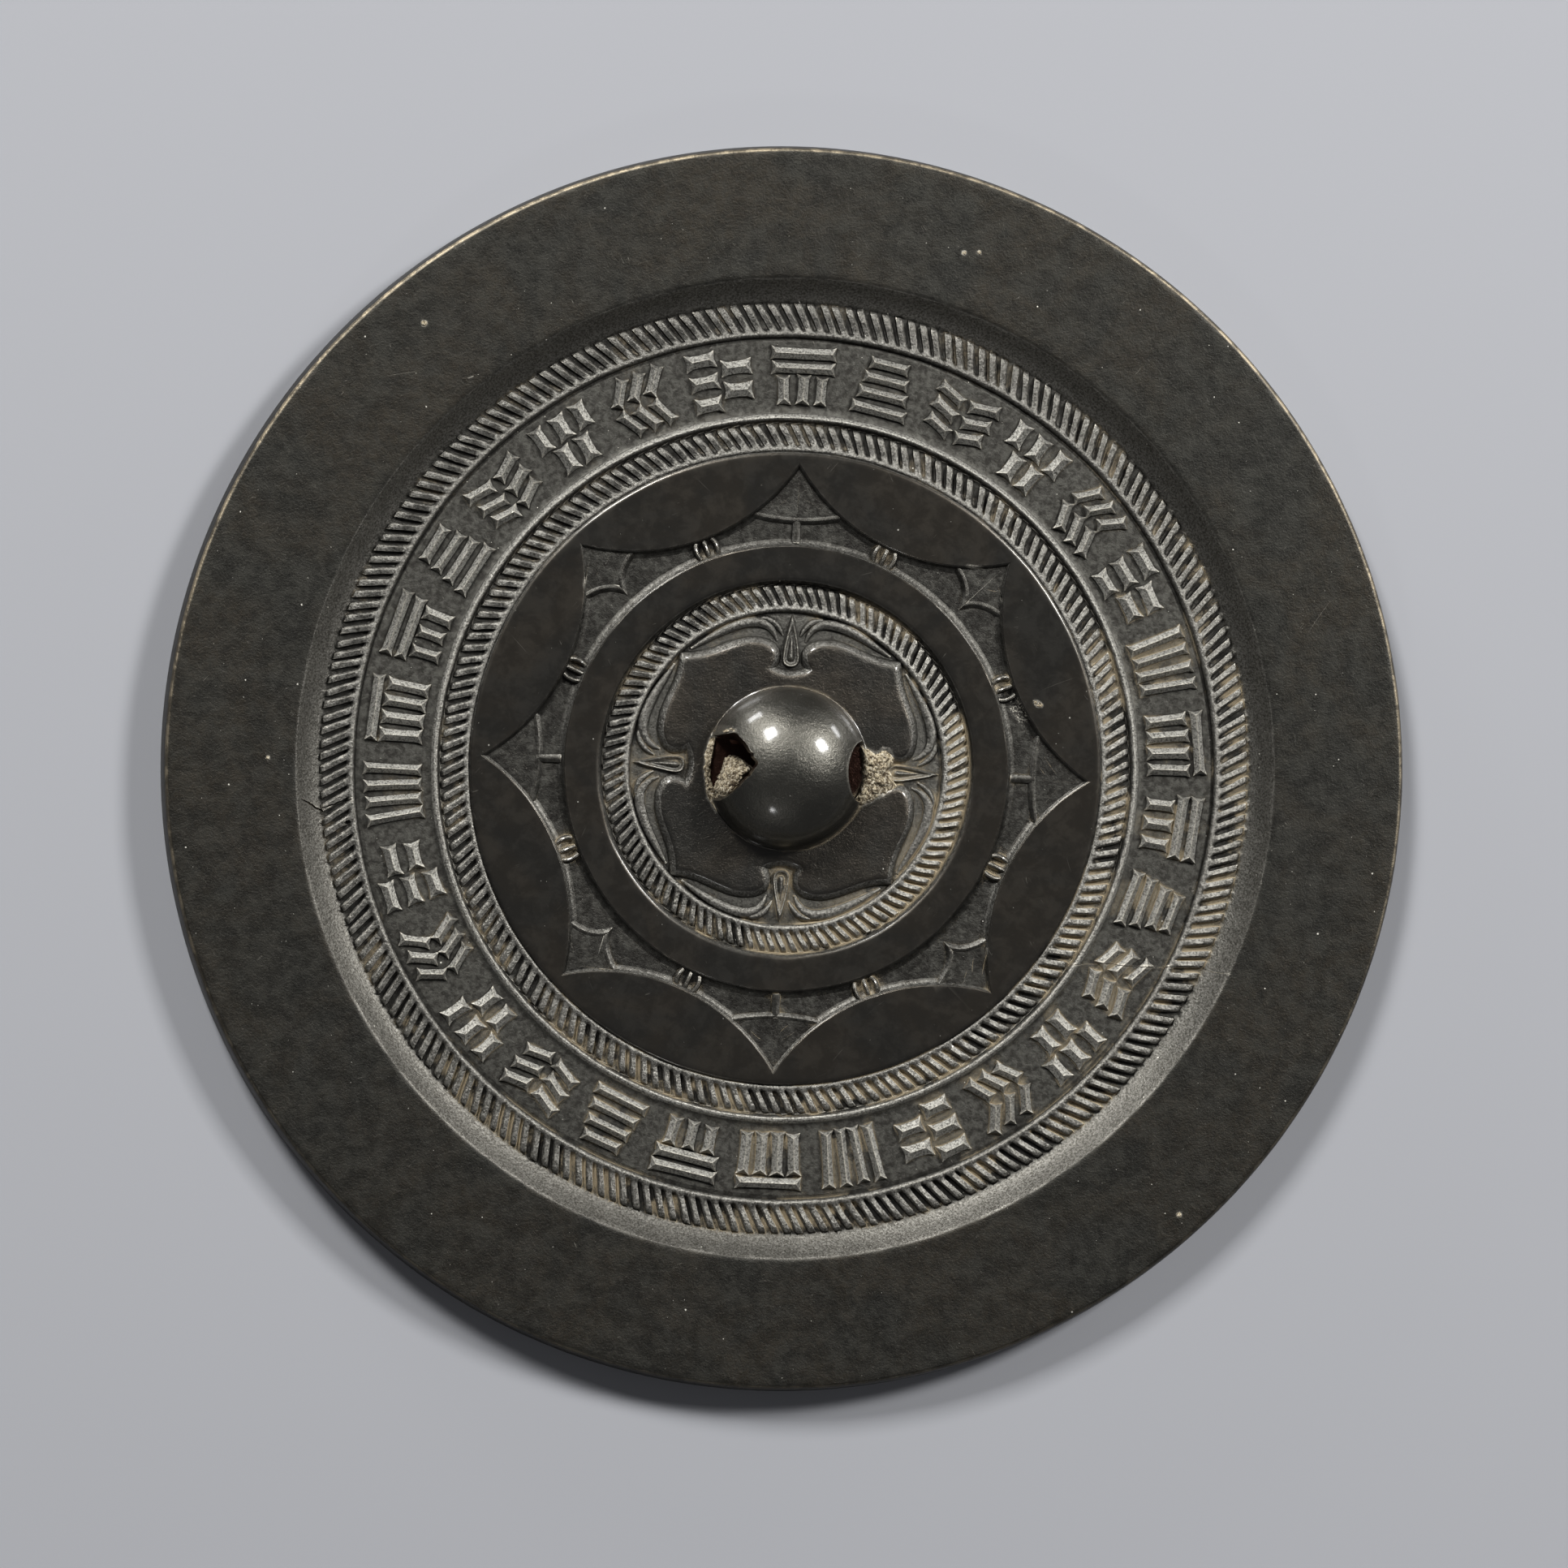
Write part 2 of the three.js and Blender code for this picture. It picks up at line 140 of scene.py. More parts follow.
# The slope from the rim to the ground: radius at its foot, and how far it spreads outward.
slope_foot, slope_run = 58.45, 2.62
disc_columns = 360
comb_lean = 0.5
comb_rise = 0.58
gap_sunk = 0.1
hand = random.Random(41)

# Crest of the fillet that the strokes hang from, outer end of the strokes, number of strokes.
inner_comb = (20.0, 23.0, 104)
middle_comb = (39.95, 43.2, 172)
outer_comb = (54.4, 58.3, 228)
# Across one stroke, from the middle of a gap: place in the pitch and share of the stroke's height.
stroke_section = ((0.0, 0.0), (0.135, 0.02), (0.2, 0.7), (0.4, 1.0), (0.79, 0.7), (0.87, 0.02))


def circle(radius, count=240):
    turn = np.arange(count) * 2 * np.pi / count
    return np.column_stack([radius * np.cos(turn), radius * np.sin(turn)])


def at_height(outline, height):
    return np.column_stack([outline, np.full(len(outline), float(height))])


def ring(radius, height, columns=disc_columns):
    return at_height(circle(radius, columns), height)


def rings(*pairs, columns=disc_columns):
    return [ring(radius, height, columns) for radius, height in pairs]


def comb_rings(crest, end, strokes):
    """Rings from the strokes' outer ends in to the fillet's crest, six columns to a stroke."""
    pitch = 2 * np.pi / strokes
    shift = np.array([hand.gauss(0, 0.035) for _ in range(strokes)])
    rise = np.array([comb_rise * hand.uniform(0.86, 1.06) for _ in range(strokes)])
    reach = np.array([hand.uniform(-0.22, 0.12) for _ in range(strokes)])
    skew = np.array([hand.gauss(0, 0.05) for _ in range(strokes)])
    # Distance outward from the crest, share of the gap's depth, share of the stroke's height.
    stations = [
        (end - crest, 1.0, 0.04), (end - crest - 0.22, 1.0, 0.68), (end - crest - 0.7, 1.0, 0.97),
        ((end - crest) * 0.52, 1.0, 1.0), (1.0, 1.0, 1.0), (0.62, 0.86, 1.0), (0.4, 0.45, 1.0),
        (0.22, 0.08, 1.0)]
    rows = []
    for number, (outward, sunk, high) in enumerate(stations):
        points = np.zeros((strokes * 6, 3))
        for column, (place, share) in enumerate(stroke_section):
            radius = crest + outward + (reach if number in (1, 2) else 0)
            # A gap's inner end is round: its edges rise sooner than its middle.
            depth = sunk ** (1.0 if column == 0 else 1.6) if sunk < 1 else 1.0
            stroke_top = ground + rise * high
            blend_top = np.minimum(stroke_top, fillet_top) if outward > 0.9 else (
                stroke_top + (fillet_top - stroke_top) * max(0.0, 1 - outward / 0.9) ** 2)
            floor = blend_top + (ground - gap_sunk * min(1.0, sunk) - blend_top) * depth
            width = 1.0 if number > 1 else (0.78, 0.94)[number]
            spread = 0.5 + (place - 0.5) * (width if 0 < column else 1.0)
            turn = np.arange(strokes) + spread + shift + skew * (outward / (end - crest) - 0.5)
            turn = turn * pitch + comb_lean * outward / radius
            points[column::6, 0] = radius * np.cos(turn)
            points[column::6, 1] = radius * np.sin(turn)
            points[column::6, 2] = floor + (blend_top - floor) * share
        rows.append(points)
    rows.append(ring(crest, fillet_top, strokes * 6))
    return rows


def join_rings(faces, outer, inner):
    """Joins two rings of (first index, columns, angles), the second further along the profile."""
    (first_a, count_a, turn_a), (first_b, count_b, turn_b) = outer, inner
    if count_a == count_b:
        for i in range(count_a):
            j = (i + 1) % count_a
            faces.append((first_a + i, first_a + j, first_b + j, first_b + i))
        return
    i = j = 0
    lag = round(float(turn_a[0] - turn_b[0]) / (2 * math.pi / count_b))
    while i < count_a or j < count_b:
        next_a = turn_a[0] + (i + 0.5) * 2 * math.pi / count_a
        next_b = turn_b[0] + (j + lag + 0.5) * 2 * math.pi / count_b
        a, b = first_a + i % count_a, first_b + (j + lag) % count_b
        if j >= count_b or (i < count_a and next_a <= next_b):
            faces.append((a, first_a + (i + 1) % count_a, b))
            i += 1
        else:
            faces.append((a, first_b + (j + lag + 1) % count_b, b))
            j += 1


def slope_rise(share):
    """Height on the slope, slightly hollow, at a share of the way from its foot to the rim."""
    return ground + 0.1 + (rim_top - 0.32 - ground) * share ** 1.3


def slope_rings():
    """The slope from the rim down to the combs, with a rounded arris on top."""
    rows = [ring(61.75, rim_top), ring(61.45, rim_top - 0.02), ring(61.2, rim_top - 0.1)]
    for share in (0.97, 0.85, 0.7, 0.5, 0.3, 0.12):
        rows.append(ring(slope_foot + slope_run * share, slope_rise(share)))
    return rows


inner_count, middle_count, outer_count = 6 * inner_comb[2], 6 * middle_comb[2], 6 * outer_comb[2]
# From the middle of the reflecting face out, over the rim and back in to the ground under the knob.
profile = [
    ring(20, 0, 90), ring(45, 0, 180),
    *rings((70, 0), (77.2, 0), (77.7, 0.06), (77.96, 0.4), (78, 1.0), (77.82, 2.6), (77.6, 4.1),
           (77.45, 4.6), (77.25, 4.86), (76.98, 4.97), (76.6, rim_top), (76.1, rim_top),
           (73.5, rim_top), (70.5, rim_top), (67.5, rim_top), (64.5, rim_top), (62.4, rim_top)),
    *slope_rings(),
    *comb_rings(*outer_comb),
    *rings((54.2, 2.81), (54.0, 2.5), (53.86, 2.12), (53.72, 2.13), columns=outer_count),
    *rings((53.4, ground), (51.5, ground + 0.03), (49.2, ground + 0.05), (47.0, ground + 0.02),
           (45.2, ground), (44.75, ground + 0.02), (44.5, 2.33)),
    *rings((44.25, 2.66), (44.05, 2.83), (43.85, fillet_top), (43.66, 2.76), (43.5, 2.45),
           (43.38, 2.2), columns=middle_count),
    *comb_rings(*middle_comb),
    *rings((39.8, 2.82), (39.68, 2.76), (39.6, 2.86), (39.5, 3.04), columns=middle_count),
    *rings((39.35, 3.12), (39.1, plateau), (38.7, plateau), (34.0, plateau), (29.0, plateau),
           (24.4, plateau), (23.95, plateau), (23.75, 3.12), (23.55, 3.03)),
    *rings((23.4, 2.82), (23.25, 2.45), (23.12, 2.22), columns=inner_count),
    *comb_rings(*inner_comb),
    *rings((19.82, 2.8), (19.62, 2.45), (19.48, 2.13), (19.34, 2.12), columns=inner_count),
    *rings((19.05, ground - 0.02), (17.5, ground + 0.02), (15.0, ground + 0.04)),
    ring(12.5, ground, 180), ring(6, ground, 90)]

disc_faces, laid_rings, first = [], [], 0
for points in profile:
    laid_rings.append((first, len(points), np.arctan2(points[:, 1], points[:, 0])))
    first += len(points)
for outer, inner in zip(laid_rings, laid_rings[1:]):
    join_rings(disc_faces, outer, inner)
disc_points = np.vstack([*profile, [(0, 0, 0), (0, 0, ground)]])
bottom, top = len(disc_points) - 2, len(disc_points) - 1
# The first ring and the last one have the same number of columns, and each closes on one point.
top_ring, end_columns = laid_rings[-1][:2]
for i in range(end_columns):
    j = (i + 1) % end_columns
    disc_faces.append((bottom, j, i))
    disc_faces.append((top, top_ring + i, top_ring + j))


def solid(name, points, faces):
    mesh = bpy.data.meshes.new(name)
    mesh.from_pydata([tuple(point) for point in points], [], faces)
    return linked(name, mesh)


def solid_parts(piece):
    return np.array([vertex.co for vertex in piece.data.vertices]), [
        tuple(face.vertices) for face in piece.data.polygons]


def joined(base, tools, operation="UNION"):
    """Joins or cuts a base with tools of (points, faces), in passes whose tools stay apart."""
    passes = []
    for points, faces in tools:
        low, high = points.min(axis=0) - 0.02, points.max(axis=0) + 0.02
        for one in passes:
            if all((low > other[1]).any() or (high < other[0]).any() for other in one["boxes"]):
                break
        else:
            one = {"boxes": [], "points": [], "faces": [], "count": 0}
            passes.append(one)
        one["boxes"].append((low, high))
        one["points"].append(points)
        one["faces"] += [tuple(i + one["count"] for i in face) for face in faces]
        one["count"] += len(points)
    for one in passes:
        tool = solid("tool", np.vstack(one["points"]), one["faces"])
        step = base.modifiers.new("join", "BOOLEAN")
        step.solver, step.operation, step.object = "MANIFOLD", operation, tool
        result = bpy.data.meshes.new_from_object(
            base.evaluated_get(bpy.context.evaluated_depsgraph_get()))
        base.modifiers.clear()
        base.data = result
        bpy.data.objects.remove(tool)


mirror = solid("mirror_casting", disc_points, disc_faces)

# ---- Star recess, its tip plates and neck bars --------------------------------------------------
# Eight linked arcs bulge inward round a sunk eight-pointed star. Low plates fill the star's tips,
# three little bars cross each neck, and scratches left by the mould maker run over the plates.

ring_outer = 27.9
star_tip, star_neck = 37.9, 30.4
star_floor = ground + 0.12
star_step = math.pi / 4
# Recess wall: height and how far the outline has moved in from the plateau's edge.
recess_wall = (
    (star_floor, 0.85), (2.4, 0.58), (2.6, 0.3), (2.93, 0.03), (3.08, -0.07), (3.155, -0.2), (3.7, -0.5))


def turned(points, angle):
    c, s = math.cos(angle), math.sin(angle)
    points = np.asarray(points, float)
    return np.column_stack([points[:, 0] * c - points[:, 1] * s, points[:, 0] * s + points[:, 1] * c])


def walls(size, steps):
    """Faces between the sections of a solid, of so many points each, that follow one another."""
    return [(a + i, a + (i + 1) % size, a + size + (i + 1) % size, a + size + i)
            for a in range(0, steps * size, size) for i in range(size)]


def skinned(points, size):
    """A closed solid through sections of so many points each: points, and faces with both ends."""
    points = np.array(points)
    ends = [tuple(range(size))[::-1], tuple(range(len(points) - size, len(points)))]
    return points, ends + walls(size, len(points) // size - 1)


def lofted(outlines):
    """A closed solid through (outline, height) pairs, lowest first, outlines counter-clockwise."""
    return skinned(np.vstack([at_height(*pair) for pair in outlines]), len(outlines[0][0]))


def star_outline(inset):
    half = star_step / 2
    chord = star_tip * math.sin(half)
    sagitta = star_tip * math.cos(half) - star_neck
    arc_radius = (chord * chord + sagitta * sagitta) / (2 * sagitta)
    arc_centre = star_neck + arc_radius
    radius = arc_radius + inset
    reach = arc_centre * math.cos(half) - math.sqrt(radius ** 2 - (arc_centre * math.sin(half)) ** 2)
    opening = math.asin(reach * math.sin(half) / radius)
    outline = []
    for k in range(8):
        sweep = np.pi + opening * (1 - 2 * np.arange(14) / 14)
        arc = np.column_stack([arc_centre + radius * np.cos(sweep), radius * np.sin(sweep)])
        outline.append(turned(arc, (k + 0.5) * star_step))
    return np.vstack(outline)


star_cut = solid("star_cut", *lofted([(star_outline(inset), height) for height, inset in recess_wall]))
core = [(circle(ring_outer + 0.9), star_floor - 0.4)]
core += [(circle(ring_outer + inset), height) for height, inset in recess_wall]
core += [(circle(ring_outer - 0.9), 4.3)]
joined(star_cut, [lofted(core)], "DIFFERENCE")
joined(mirror, [solid_parts(star_cut)], "DIFFERENCE")
bpy.data.objects.remove(star_cut)

round_section = ((-1, 0), (-0.82, 0.55), (-0.42, 0.9), (0, 1), (0.42, 0.9), (0.82, 0.55), (1, 0))


def sides_of(route):
    """At each point of a route in plan, the unit direction that points to its left."""
    along = np.gradient(route, axis=0)
    along /= np.linalg.norm(along, axis=1)[:, None]
    return np.column_stack([-along[:, 1], along[:, 0]])


def raised_line(route, widths, heights, base):
    """A raised line along a route in plan. Widths are at its foot, heights are above the base."""
    points, rooted, sunk = [], 0.35, 0.05
    for place, side, width, height in zip(route, sides_of(route), widths, heights):
        points.append((*(place - side * width / 2), base - rooted))
        points.append((*(place + side * width / 2), base - rooted))
        for sideways, up in round_section:
            points.append((*(place - side * width / 2 * sideways), base - sunk + (height + sunk) * up))
    return skinned(points, len(round_section) + 2)


def scored_line(route, width, depth, surface):
    """A cutter for a fine scratch or engraved line in a flat surface."""
    swell = np.sin(np.linspace(0.12, math.pi - 0.12, len(route))) ** 0.6
    points, above = [], 0.25
    for place, side, share in zip(route, sides_of(route), swell):
        half = side * width / 2 * (1 + above / depth) * share
        points += [(*place, surface - depth * share), (*(place + half), surface + above),
                   (*(place - half), surface + above)]
    return skinned(points, 3)


def bow(start, control, end, count):
    t = np.linspace(0, 1, count)[:, None]
    start, control, end = (np.asarray(point, float) for point in (start, control, end))
    return start * (1 - t) ** 2 + 2 * control * t * (1 - t) + end * t ** 2


def grown(outline, by):
    """An outline moved outward by a distance, with its sharp corners kept from running away."""
    before, after = np.roll(outline, 1, axis=0), np.roll(outline, -1, axis=0)
    first, second = outline - before, after - outline
    first /= np.linalg.norm(first, axis=1)[:, None]
    second /= np.linalg.norm(second, axis=1)[:, None]
    normal = np.column_stack([first[:, 1] + second[:, 1], -first[:, 0] - second[:, 0]])
    length = np.linalg.norm(normal, axis=1)
    normal /= np.maximum(length, 1e-6)[:, None]
    return outline + normal * (by / np.maximum(length / 2, 0.6))[:, None]


star_reliefs = []
apex = star_tip + 1.2
plate_wall = ((star_floor - 0.3, 0.5), (star_floor + 0.02, 0.44), (star_floor + 0.3, 0.16),
              (star_floor + 0.45, -0.06), (star_floor + 0.45, -0.24), (star_floor + 0.34, -0.46))
for k in range(8):
    if k % 2 == 0:
        base = bow((-6.9, 31.9), (0, 30.0), (6.9, 31.9), 14)
    else:
        left = bow((-6.2, 33.0), (-1.2, 32.9), (0, 30.1), 9)
        base = np.vstack([left, left[-2::-1] * (-1, 1)])
    outline = np.vstack([base, [(0, apex)]])
    star_reliefs.append(lofted([
        (turned(grown(outline, by), k * star_step), height) for height, by in plate_wall]))
    neck = (k + 0.5) * star_step
    for shift in (-1.08, 0.0, 1.08):
        out = np.linspace(ring_outer + 0.2, star_neck - 0.15, 7)
        bulge = 0.28 * np.sign(shift) * (1 - ((out - out.mean()) / 1.1) ** 2)
        star_reliefs.append(raised_line(
            turned(np.column_stack([shift + bulge + hand.gauss(0, 0.03) + out * 0, out]), neck),
            [0.84] * 7, [0.5, 0.66, 0.74, 0.76, 0.74, 0.66, 0.5], star_floor))
    if k % 2 == 0:
        out = np.linspace(ring_outer + 0.3, 31.3, 5)
        star_reliefs.append(raised_line(
            turned(np.column_stack([out * 0, out]), k * star_step),
            [1.3, 1.2, 1.15, 1.15, 1.2], [0.5, 0.46, 0.44, 0.44, 0.48], star_floor))
joined(mirror, star_reliefs)

star_scores = []
for k in range(8):
    if k % 2 == 0:
        lines = [((0, 31.9), (0.1, 36.8)), ((-0.9, 34.2), (-2.9, 32.5)), ((0.9, 34.2), (3.1, 32.6)),
                 ((-0.5, 33.0), (-1.6, 32.0))]
    else:
        lines = [((-0.6, 36.0), (-3.4, 33.9)), ((0.8, 35.4), (2.9, 34.0)), ((-0.2, 34.9), (-1.5, 33.6)),
                 ((0.2, 33.7), (1.6, 34.6))]
    for start, end in lines:
        jitter = [hand.gauss(0, 0.18) for _ in range(4)]
        t = np.linspace(0, 1, 5)[:, None]
        start, end = np.add(start, jitter[:2]), np.add(end, jitter[2:])
        route = start * (1 - t) + end * t + np.column_stack([0.12 * np.sin(t * math.pi), t * 0])
        star_scores.append(scored_line(turned(route, k * star_step), 0.1, 0.1, star_floor + 0.37))
joined(mirror, star_scores, "DIFFERENCE")

# ---- Calyx: four leaves, four notches, buds and tendrils ----------------------------------------
# A smooth four-leaved plate lies round the knob. Each notch between its leaves holds a bud with a
# raised rim and a bead, and two tendrils sweep from the notch's neck out along the leaves.

leaf_tip_radius = 18.9
leaf_edge = ((1.85, 0.8), (2.2, 0.76), (2.46, 0.58), (2.74, 0.32), (2.97, 0.04), (3.09, -0.18),
             (plateau, -0.38), (plateau + 0.004, -0.7))


def cubic(a, b, c, d, count):
    t = np.linspace(0, 1, count)[:, None]
    a, b, c, d = (np.asarray(point, float) for point in (a, b, c, d))
    return a * (1 - t) ** 3 + 3 * b * t * (1 - t) ** 2 + 3 * c * t * t * (1 - t) + d * t ** 3


def calyx_outline():
    tip = leaf_tip_radius * math.sqrt(0.5)
    half = np.vstack([
        bow((0, 11.65), (1.5, 11.7), (2.6, 12.4), 5),
        cubic((2.6, 12.4), (2.2, 12.9), (1.95, 13.5), (1.95, 14.2), 4)[1:],
        cubic((1.95, 14.2), (2.0, 15.1), (3.1, 15.65), (4.7, 15.65), 7)[1:],
        cubic((4.7, 15.65), (7.6, 15.65), (9.4, 13.5), (tip, tip), 14)[1:]])
    mirrored = half[1:] * (-1, 1)
    outline = []
    for leaf in range(4):
        turn = leaf * math.pi / 2
        outline += [turned(half[::-1], turn), turned(mirrored[:-1], turn)]
    return np.vstack(outline)


calyx_edge = calyx_outline()
calyx_reliefs = [lofted([(grown(calyx_edge, by), height) for height, by in leaf_edge])]


def bud(turn):
    """A teardrop with a raised rim, a hollow inside it and a ridge that swells into a bead."""
    side = np.linspace(0, math.pi, 17)
    reach = 13.9 - 1.15 * np.cos(side) + 3.7 * ((1 - np.cos(side)) / 2) ** 2.1
    half_width = 1.3 * np.sin(side) * (1 - 0.62 * ((1 - np.cos(side)) / 2) ** 1.1)
    outline = np.vstack([
        np.column_stack([half_width, reach]), np.column_stack([-half_width[-2:0:-1], reach[-2:0:-1]])])
    heart = np.array([0, 14.1])
    levels = ((1.16, -0.35), (1.1, 0.03), (1.0, 0.42), (0.93, 0.55), (0.84, 0.52), (0.72, 0.28),
              (0.56, 0.22), (0.4, 0.42), (0.22, 0.62), (0.08, 0.68))
    shapes = []
    for share, height in levels:
        squeeze = np.array([share if share > 0.6 else share * (0.5 + 0.6 * share), share])
        shapes.append((turned(heart + (outline - heart) * squeeze, turn), ground + height))
    return lofted(shapes)


for leaf in range(4):
    turn = leaf * math.pi / 2
    calyx_reliefs.append(bud(turn))
    for side in (1, -1):
        wobble = hand.gauss(0, 0.06)
        outer_tendril = cubic((1.75, 15.9), (3.1, 20.0 + wobble), (7.2, 18.0), (12.5, 14.5), 16)
        inner_tendril = cubic((1.05, 16.6), (1.75, 18.1), (2.8, 18.8 + wobble), (4.2, 18.65), 9)
        swell = np.sin(np.linspace(0.1, math.pi - 0.12, 16)) ** 0.55
        calyx_reliefs.append(raised_line(
            turned(outer_tendril * (side, 1), turn), 1.45 * swell, 0.62 * swell, ground))
        swell = np.sin(np.linspace(0.15, math.pi - 0.15, 9)) ** 0.5
        calyx_reliefs.append(raised_line(
            turned(inner_tendril * (side, 1), turn), 0.95 * swell, 0.52 * swell, ground))
joined(mirror, calyx_reliefs)

# ---- Knob with its cord hole --------------------------------------------------------------------
# A smooth dome stands on the calyx. The hole for the cord was cored through it, and its left mouth
# has broken out to a wide angular gap, while the right one is still a narrow arch.

knob_radius = 10.15
knob_height = 8.4
bore_half_width = 3.2
bore_side = 2.4


def knob_dome():
    columns = 96
    levels = [(circle(knob_radius + out, columns), plateau + up) for out, up in (
        (0.3, -0.6), (0.3, -0.03), (0.1, 0.05), (0.01, 0.2))]
    for share in np.linspace(0, 1, 26):
        angle = share * math.pi / 2
        height = plateau + knob_height * math.sin(angle)
        if height > plateau + 0.3:
            levels.append((circle(max(knob_radius * math.cos(angle), 0.05), columns), height))
    return lofted(levels)


def cord_bore():
    """The arched hole along X, a little wider at its ends."""
    stations = ((-12.5, 1.35), (-9.5, 1.2), (-7.4, 1.06), (-5, 1.0), (0, 0.97), (5, 1.0), (7.0, 1.03),
                (8.6, 1.12), (10.2, 1.3))
    arch = [(-bore_half_width + 0.5, 0.14), (bore_half_width - 0.5, 0.14), (bore_half_width - 0.12, 0.4),
            (bore_half_width, 0.9)]
    arch += [(bore_half_width * math.cos(a), bore_side + bore_half_width * math.sin(a))
             for a in np.linspace(0, math.pi, 15)]
    arch += [(-bore_half_width, 0.9), (-bore_half_width + 0.12, 0.4)]
    return skinned([(x, y * flare * (1 + 0.02 * math.sin(x * 2.1 + y)), plateau + 0.14 + (z - 0.14) * flare)
                    for x, flare in stations for y, z in arch], len(arch))


def resampled(corners, count, endpoint=True):
    """Points spaced evenly along the straight runs between corners."""
    run = np.concatenate([[0], np.cumsum(np.linalg.norm(np.diff(corners, axis=0), axis=1))])
    along = np.linspace(0, run[-1], count, endpoint=endpoint)
    return np.column_stack([np.interp(along, run, corners[:, k]) for k in (0, 1)])


# The broken mouth in plan, from its upper corner round the point to its lower corner.
broken_edge = np.array([
    (-14.5, 4.6), (-9.2, 4.1), (-6.9, 4.35), (-6.1, 3.6), (-5.25, 2.5), (-4.15, 0.55), (-4.65, -0.55),
    (-6.05, -2.4), (-7.3, -4.15), (-8.4, -5.35), (-9.6, -6.4), (-14.5, -8.0)])
# The metal tore along this edge, so it wavers between the corners.
torn_edge = resampled(broken_edge, 70)
tear_noise = np.array([[0.2 * noise.noise(Vector((x * 1.3, y * 1.3, 4.0 + k)))
                        + 0.12 * noise.noise(Vector((x * 3.7, y * 3.7, 9.0 + k))) for k in (0, 1)]
                       for x, y in torn_edge])
torn_outline = (torn_edge + tear_noise * (np.abs(torn_edge[:, :1]) < 11))[::-1]
# Height of each level, how far it moves along X, and how much wider or narrower it is across.
mouth_levels = ((plateau + 0.13, -1.0, -0.2), (5.2, -0.75, -0.12), (8.0, -0.3, -0.03), (13, 0.25, 0.05))
broken_mouth = lofted([(torn_outline + (shift, 0) + torn_outline * (0, widening), height)
                       for height, shift, widening in mouth_levels])

knob = solid("knob", *knob_dome())
joined(knob, [cord_bore()], "DIFFERENCE")
joined(knob, [broken_mouth], "DIFFERENCE")
joined(mirror, [solid_parts(knob)])
bpy.data.objects.remove(knob)

# ---- Band of stroke blocks ----------------------------------------------------------------------
# Thirty square blocks of raised strokes fill the broad ground. Each stroke was pressed into the mould
# with a chisel-ended tool: it has an upright foot, a hipped roof with a sharp ridge, and forked ends.

block_count = 30
block_radius = 49.2
block_half_width, block_half_depth = 4.0, 3.7


def spread(count, start, end, make):
    return [make(start + (end - start) * i / (count - 1)) for i in range(count)]


def upright(low, high):
    return lambda u: (u, low, u, high)


def level(left, right):
    return lambda v: (left, v, right, v)


# Stroke width, then the strokes in a square from -1 to 1: u clockwise, v outward.
block_patterns = [
    # two long bars over three short posts
    (1.5, spread(2, 0.28, 0.78, level(-1, 1)) + spread(3, -0.62, 0.62, upright(-1, 0.02))),
    # three bars beside two, laid like bricks
    (1.85, spread(3, -0.76, 0.76, level(-1, -0.04)) + spread(2, -0.38, 0.38, level(0.04, 1))),
    # a herringbone of three pairs
    (1.5, spread(3, -0.72, 0.42, lambda v: (-1, v + 0.34, -0.08, v))
     + spread(3, -0.72, 0.42, lambda v: (1, v + 0.34, 0.08, v))),
    # a long bar over four posts
    (1.55, [(-1, 0.78, 1, 0.78)] + spread(4, -0.78, 0.78, upright(-1, 0.5))),
    # two rows of strokes that lean opposite ways
    (1.45, spread(3, -0.8, 0.3, lambda u: (u, 0.08, u + 0.5, 1))
     + spread(3, -0.8, 0.3, lambda u: (u + 0.5, -1, u, -0.08))),
    # four level bars that grow longer inward
    (1.4, spread(4, -0.78, 0.78, lambda v: (-0.78 + 0.22 * v, v, 0.78 - 0.22 * v, v))),
    # a fan of four strokes
    (1.4, spread(4, -0.78, 0.78, lambda u: (0.88 * u, -1, u, 1))),
    # three posts over two, laid like bricks
    (1.85, spread(3, -0.72, 0.72, upright(0.02, 1)) + spread(2, -0.36, 0.36, upright(-1, -0.02))),
]


def wedge_stroke(start, end, width):
    """One pressed stroke, with its ends forked like a fishtail."""
    start, end = np.asarray(start, float), np.asarray(end, float)
    length = np.linalg.norm(end - start)
    along = (end - start) / length
    across = np.array([-along[1], along[0]])
    tails = [min(width * hand.uniform(0.34, 0.46), 0.4 * length) for _ in range(2)]
    corners = [width / 2 * hand.uniform(1.14, 1.3) for _ in range(4)]
    fork, waist, middle = 0.11 * width, width / 2 * 0.95, width / 2 * hand.uniform(0.88, 0.95)
    high = 0.98 * hand.uniform(0.92, 1.06)
    plan = np.array([
        (0, -corners[0]), (tails[0], -waist), (length / 2, -middle), (length - tails[1], -waist),
        (length, -corners[1]), (length - fork, 0), (length, corners[2]), (length - tails[1], waist),
        (length / 2, middle), (tails[0], waist), (0, corners[3]), (fork, 0)])
    centre = np.array([length / 2, 0])
    shoulder = plan - np.sign(plan - centre) * (0.07, 0.06)
    levels = [(plan, -0.35), (plan, 0.0), (shoulder, 0.36 * high)]
    ridge = [(tails[0] + fork / 2, high), (length / 2, 0.97 * high), (length - tails[1] - fork / 2, high)]
    points = [(*(start + along * x + across * y), ground + z) for level, z in levels for x, y in level]
    points += [(*(start + along * x), ground + z) for x, z in ridge]
    size, top = len(plan), 2 * len(plan)
    first, mid, last = range(3 * size, 3 * size + 3)
    roof = [(0, 1, first), (1, 2, mid, first), (2, 3, last, mid), (3, 4, last), (4, 5, last), (5, 6, last),
            (6, 7, last), (7, 8, mid, last), (8, 9, first, mid), (9, 10, first), (10, 11, first),
            (11, 0, first)]
    roof = [tuple(top + i if i < size else i for i in face) for face in roof]
    return np.array(points), [tuple(range(size))[::-1], *walls(size, 2), *roof]


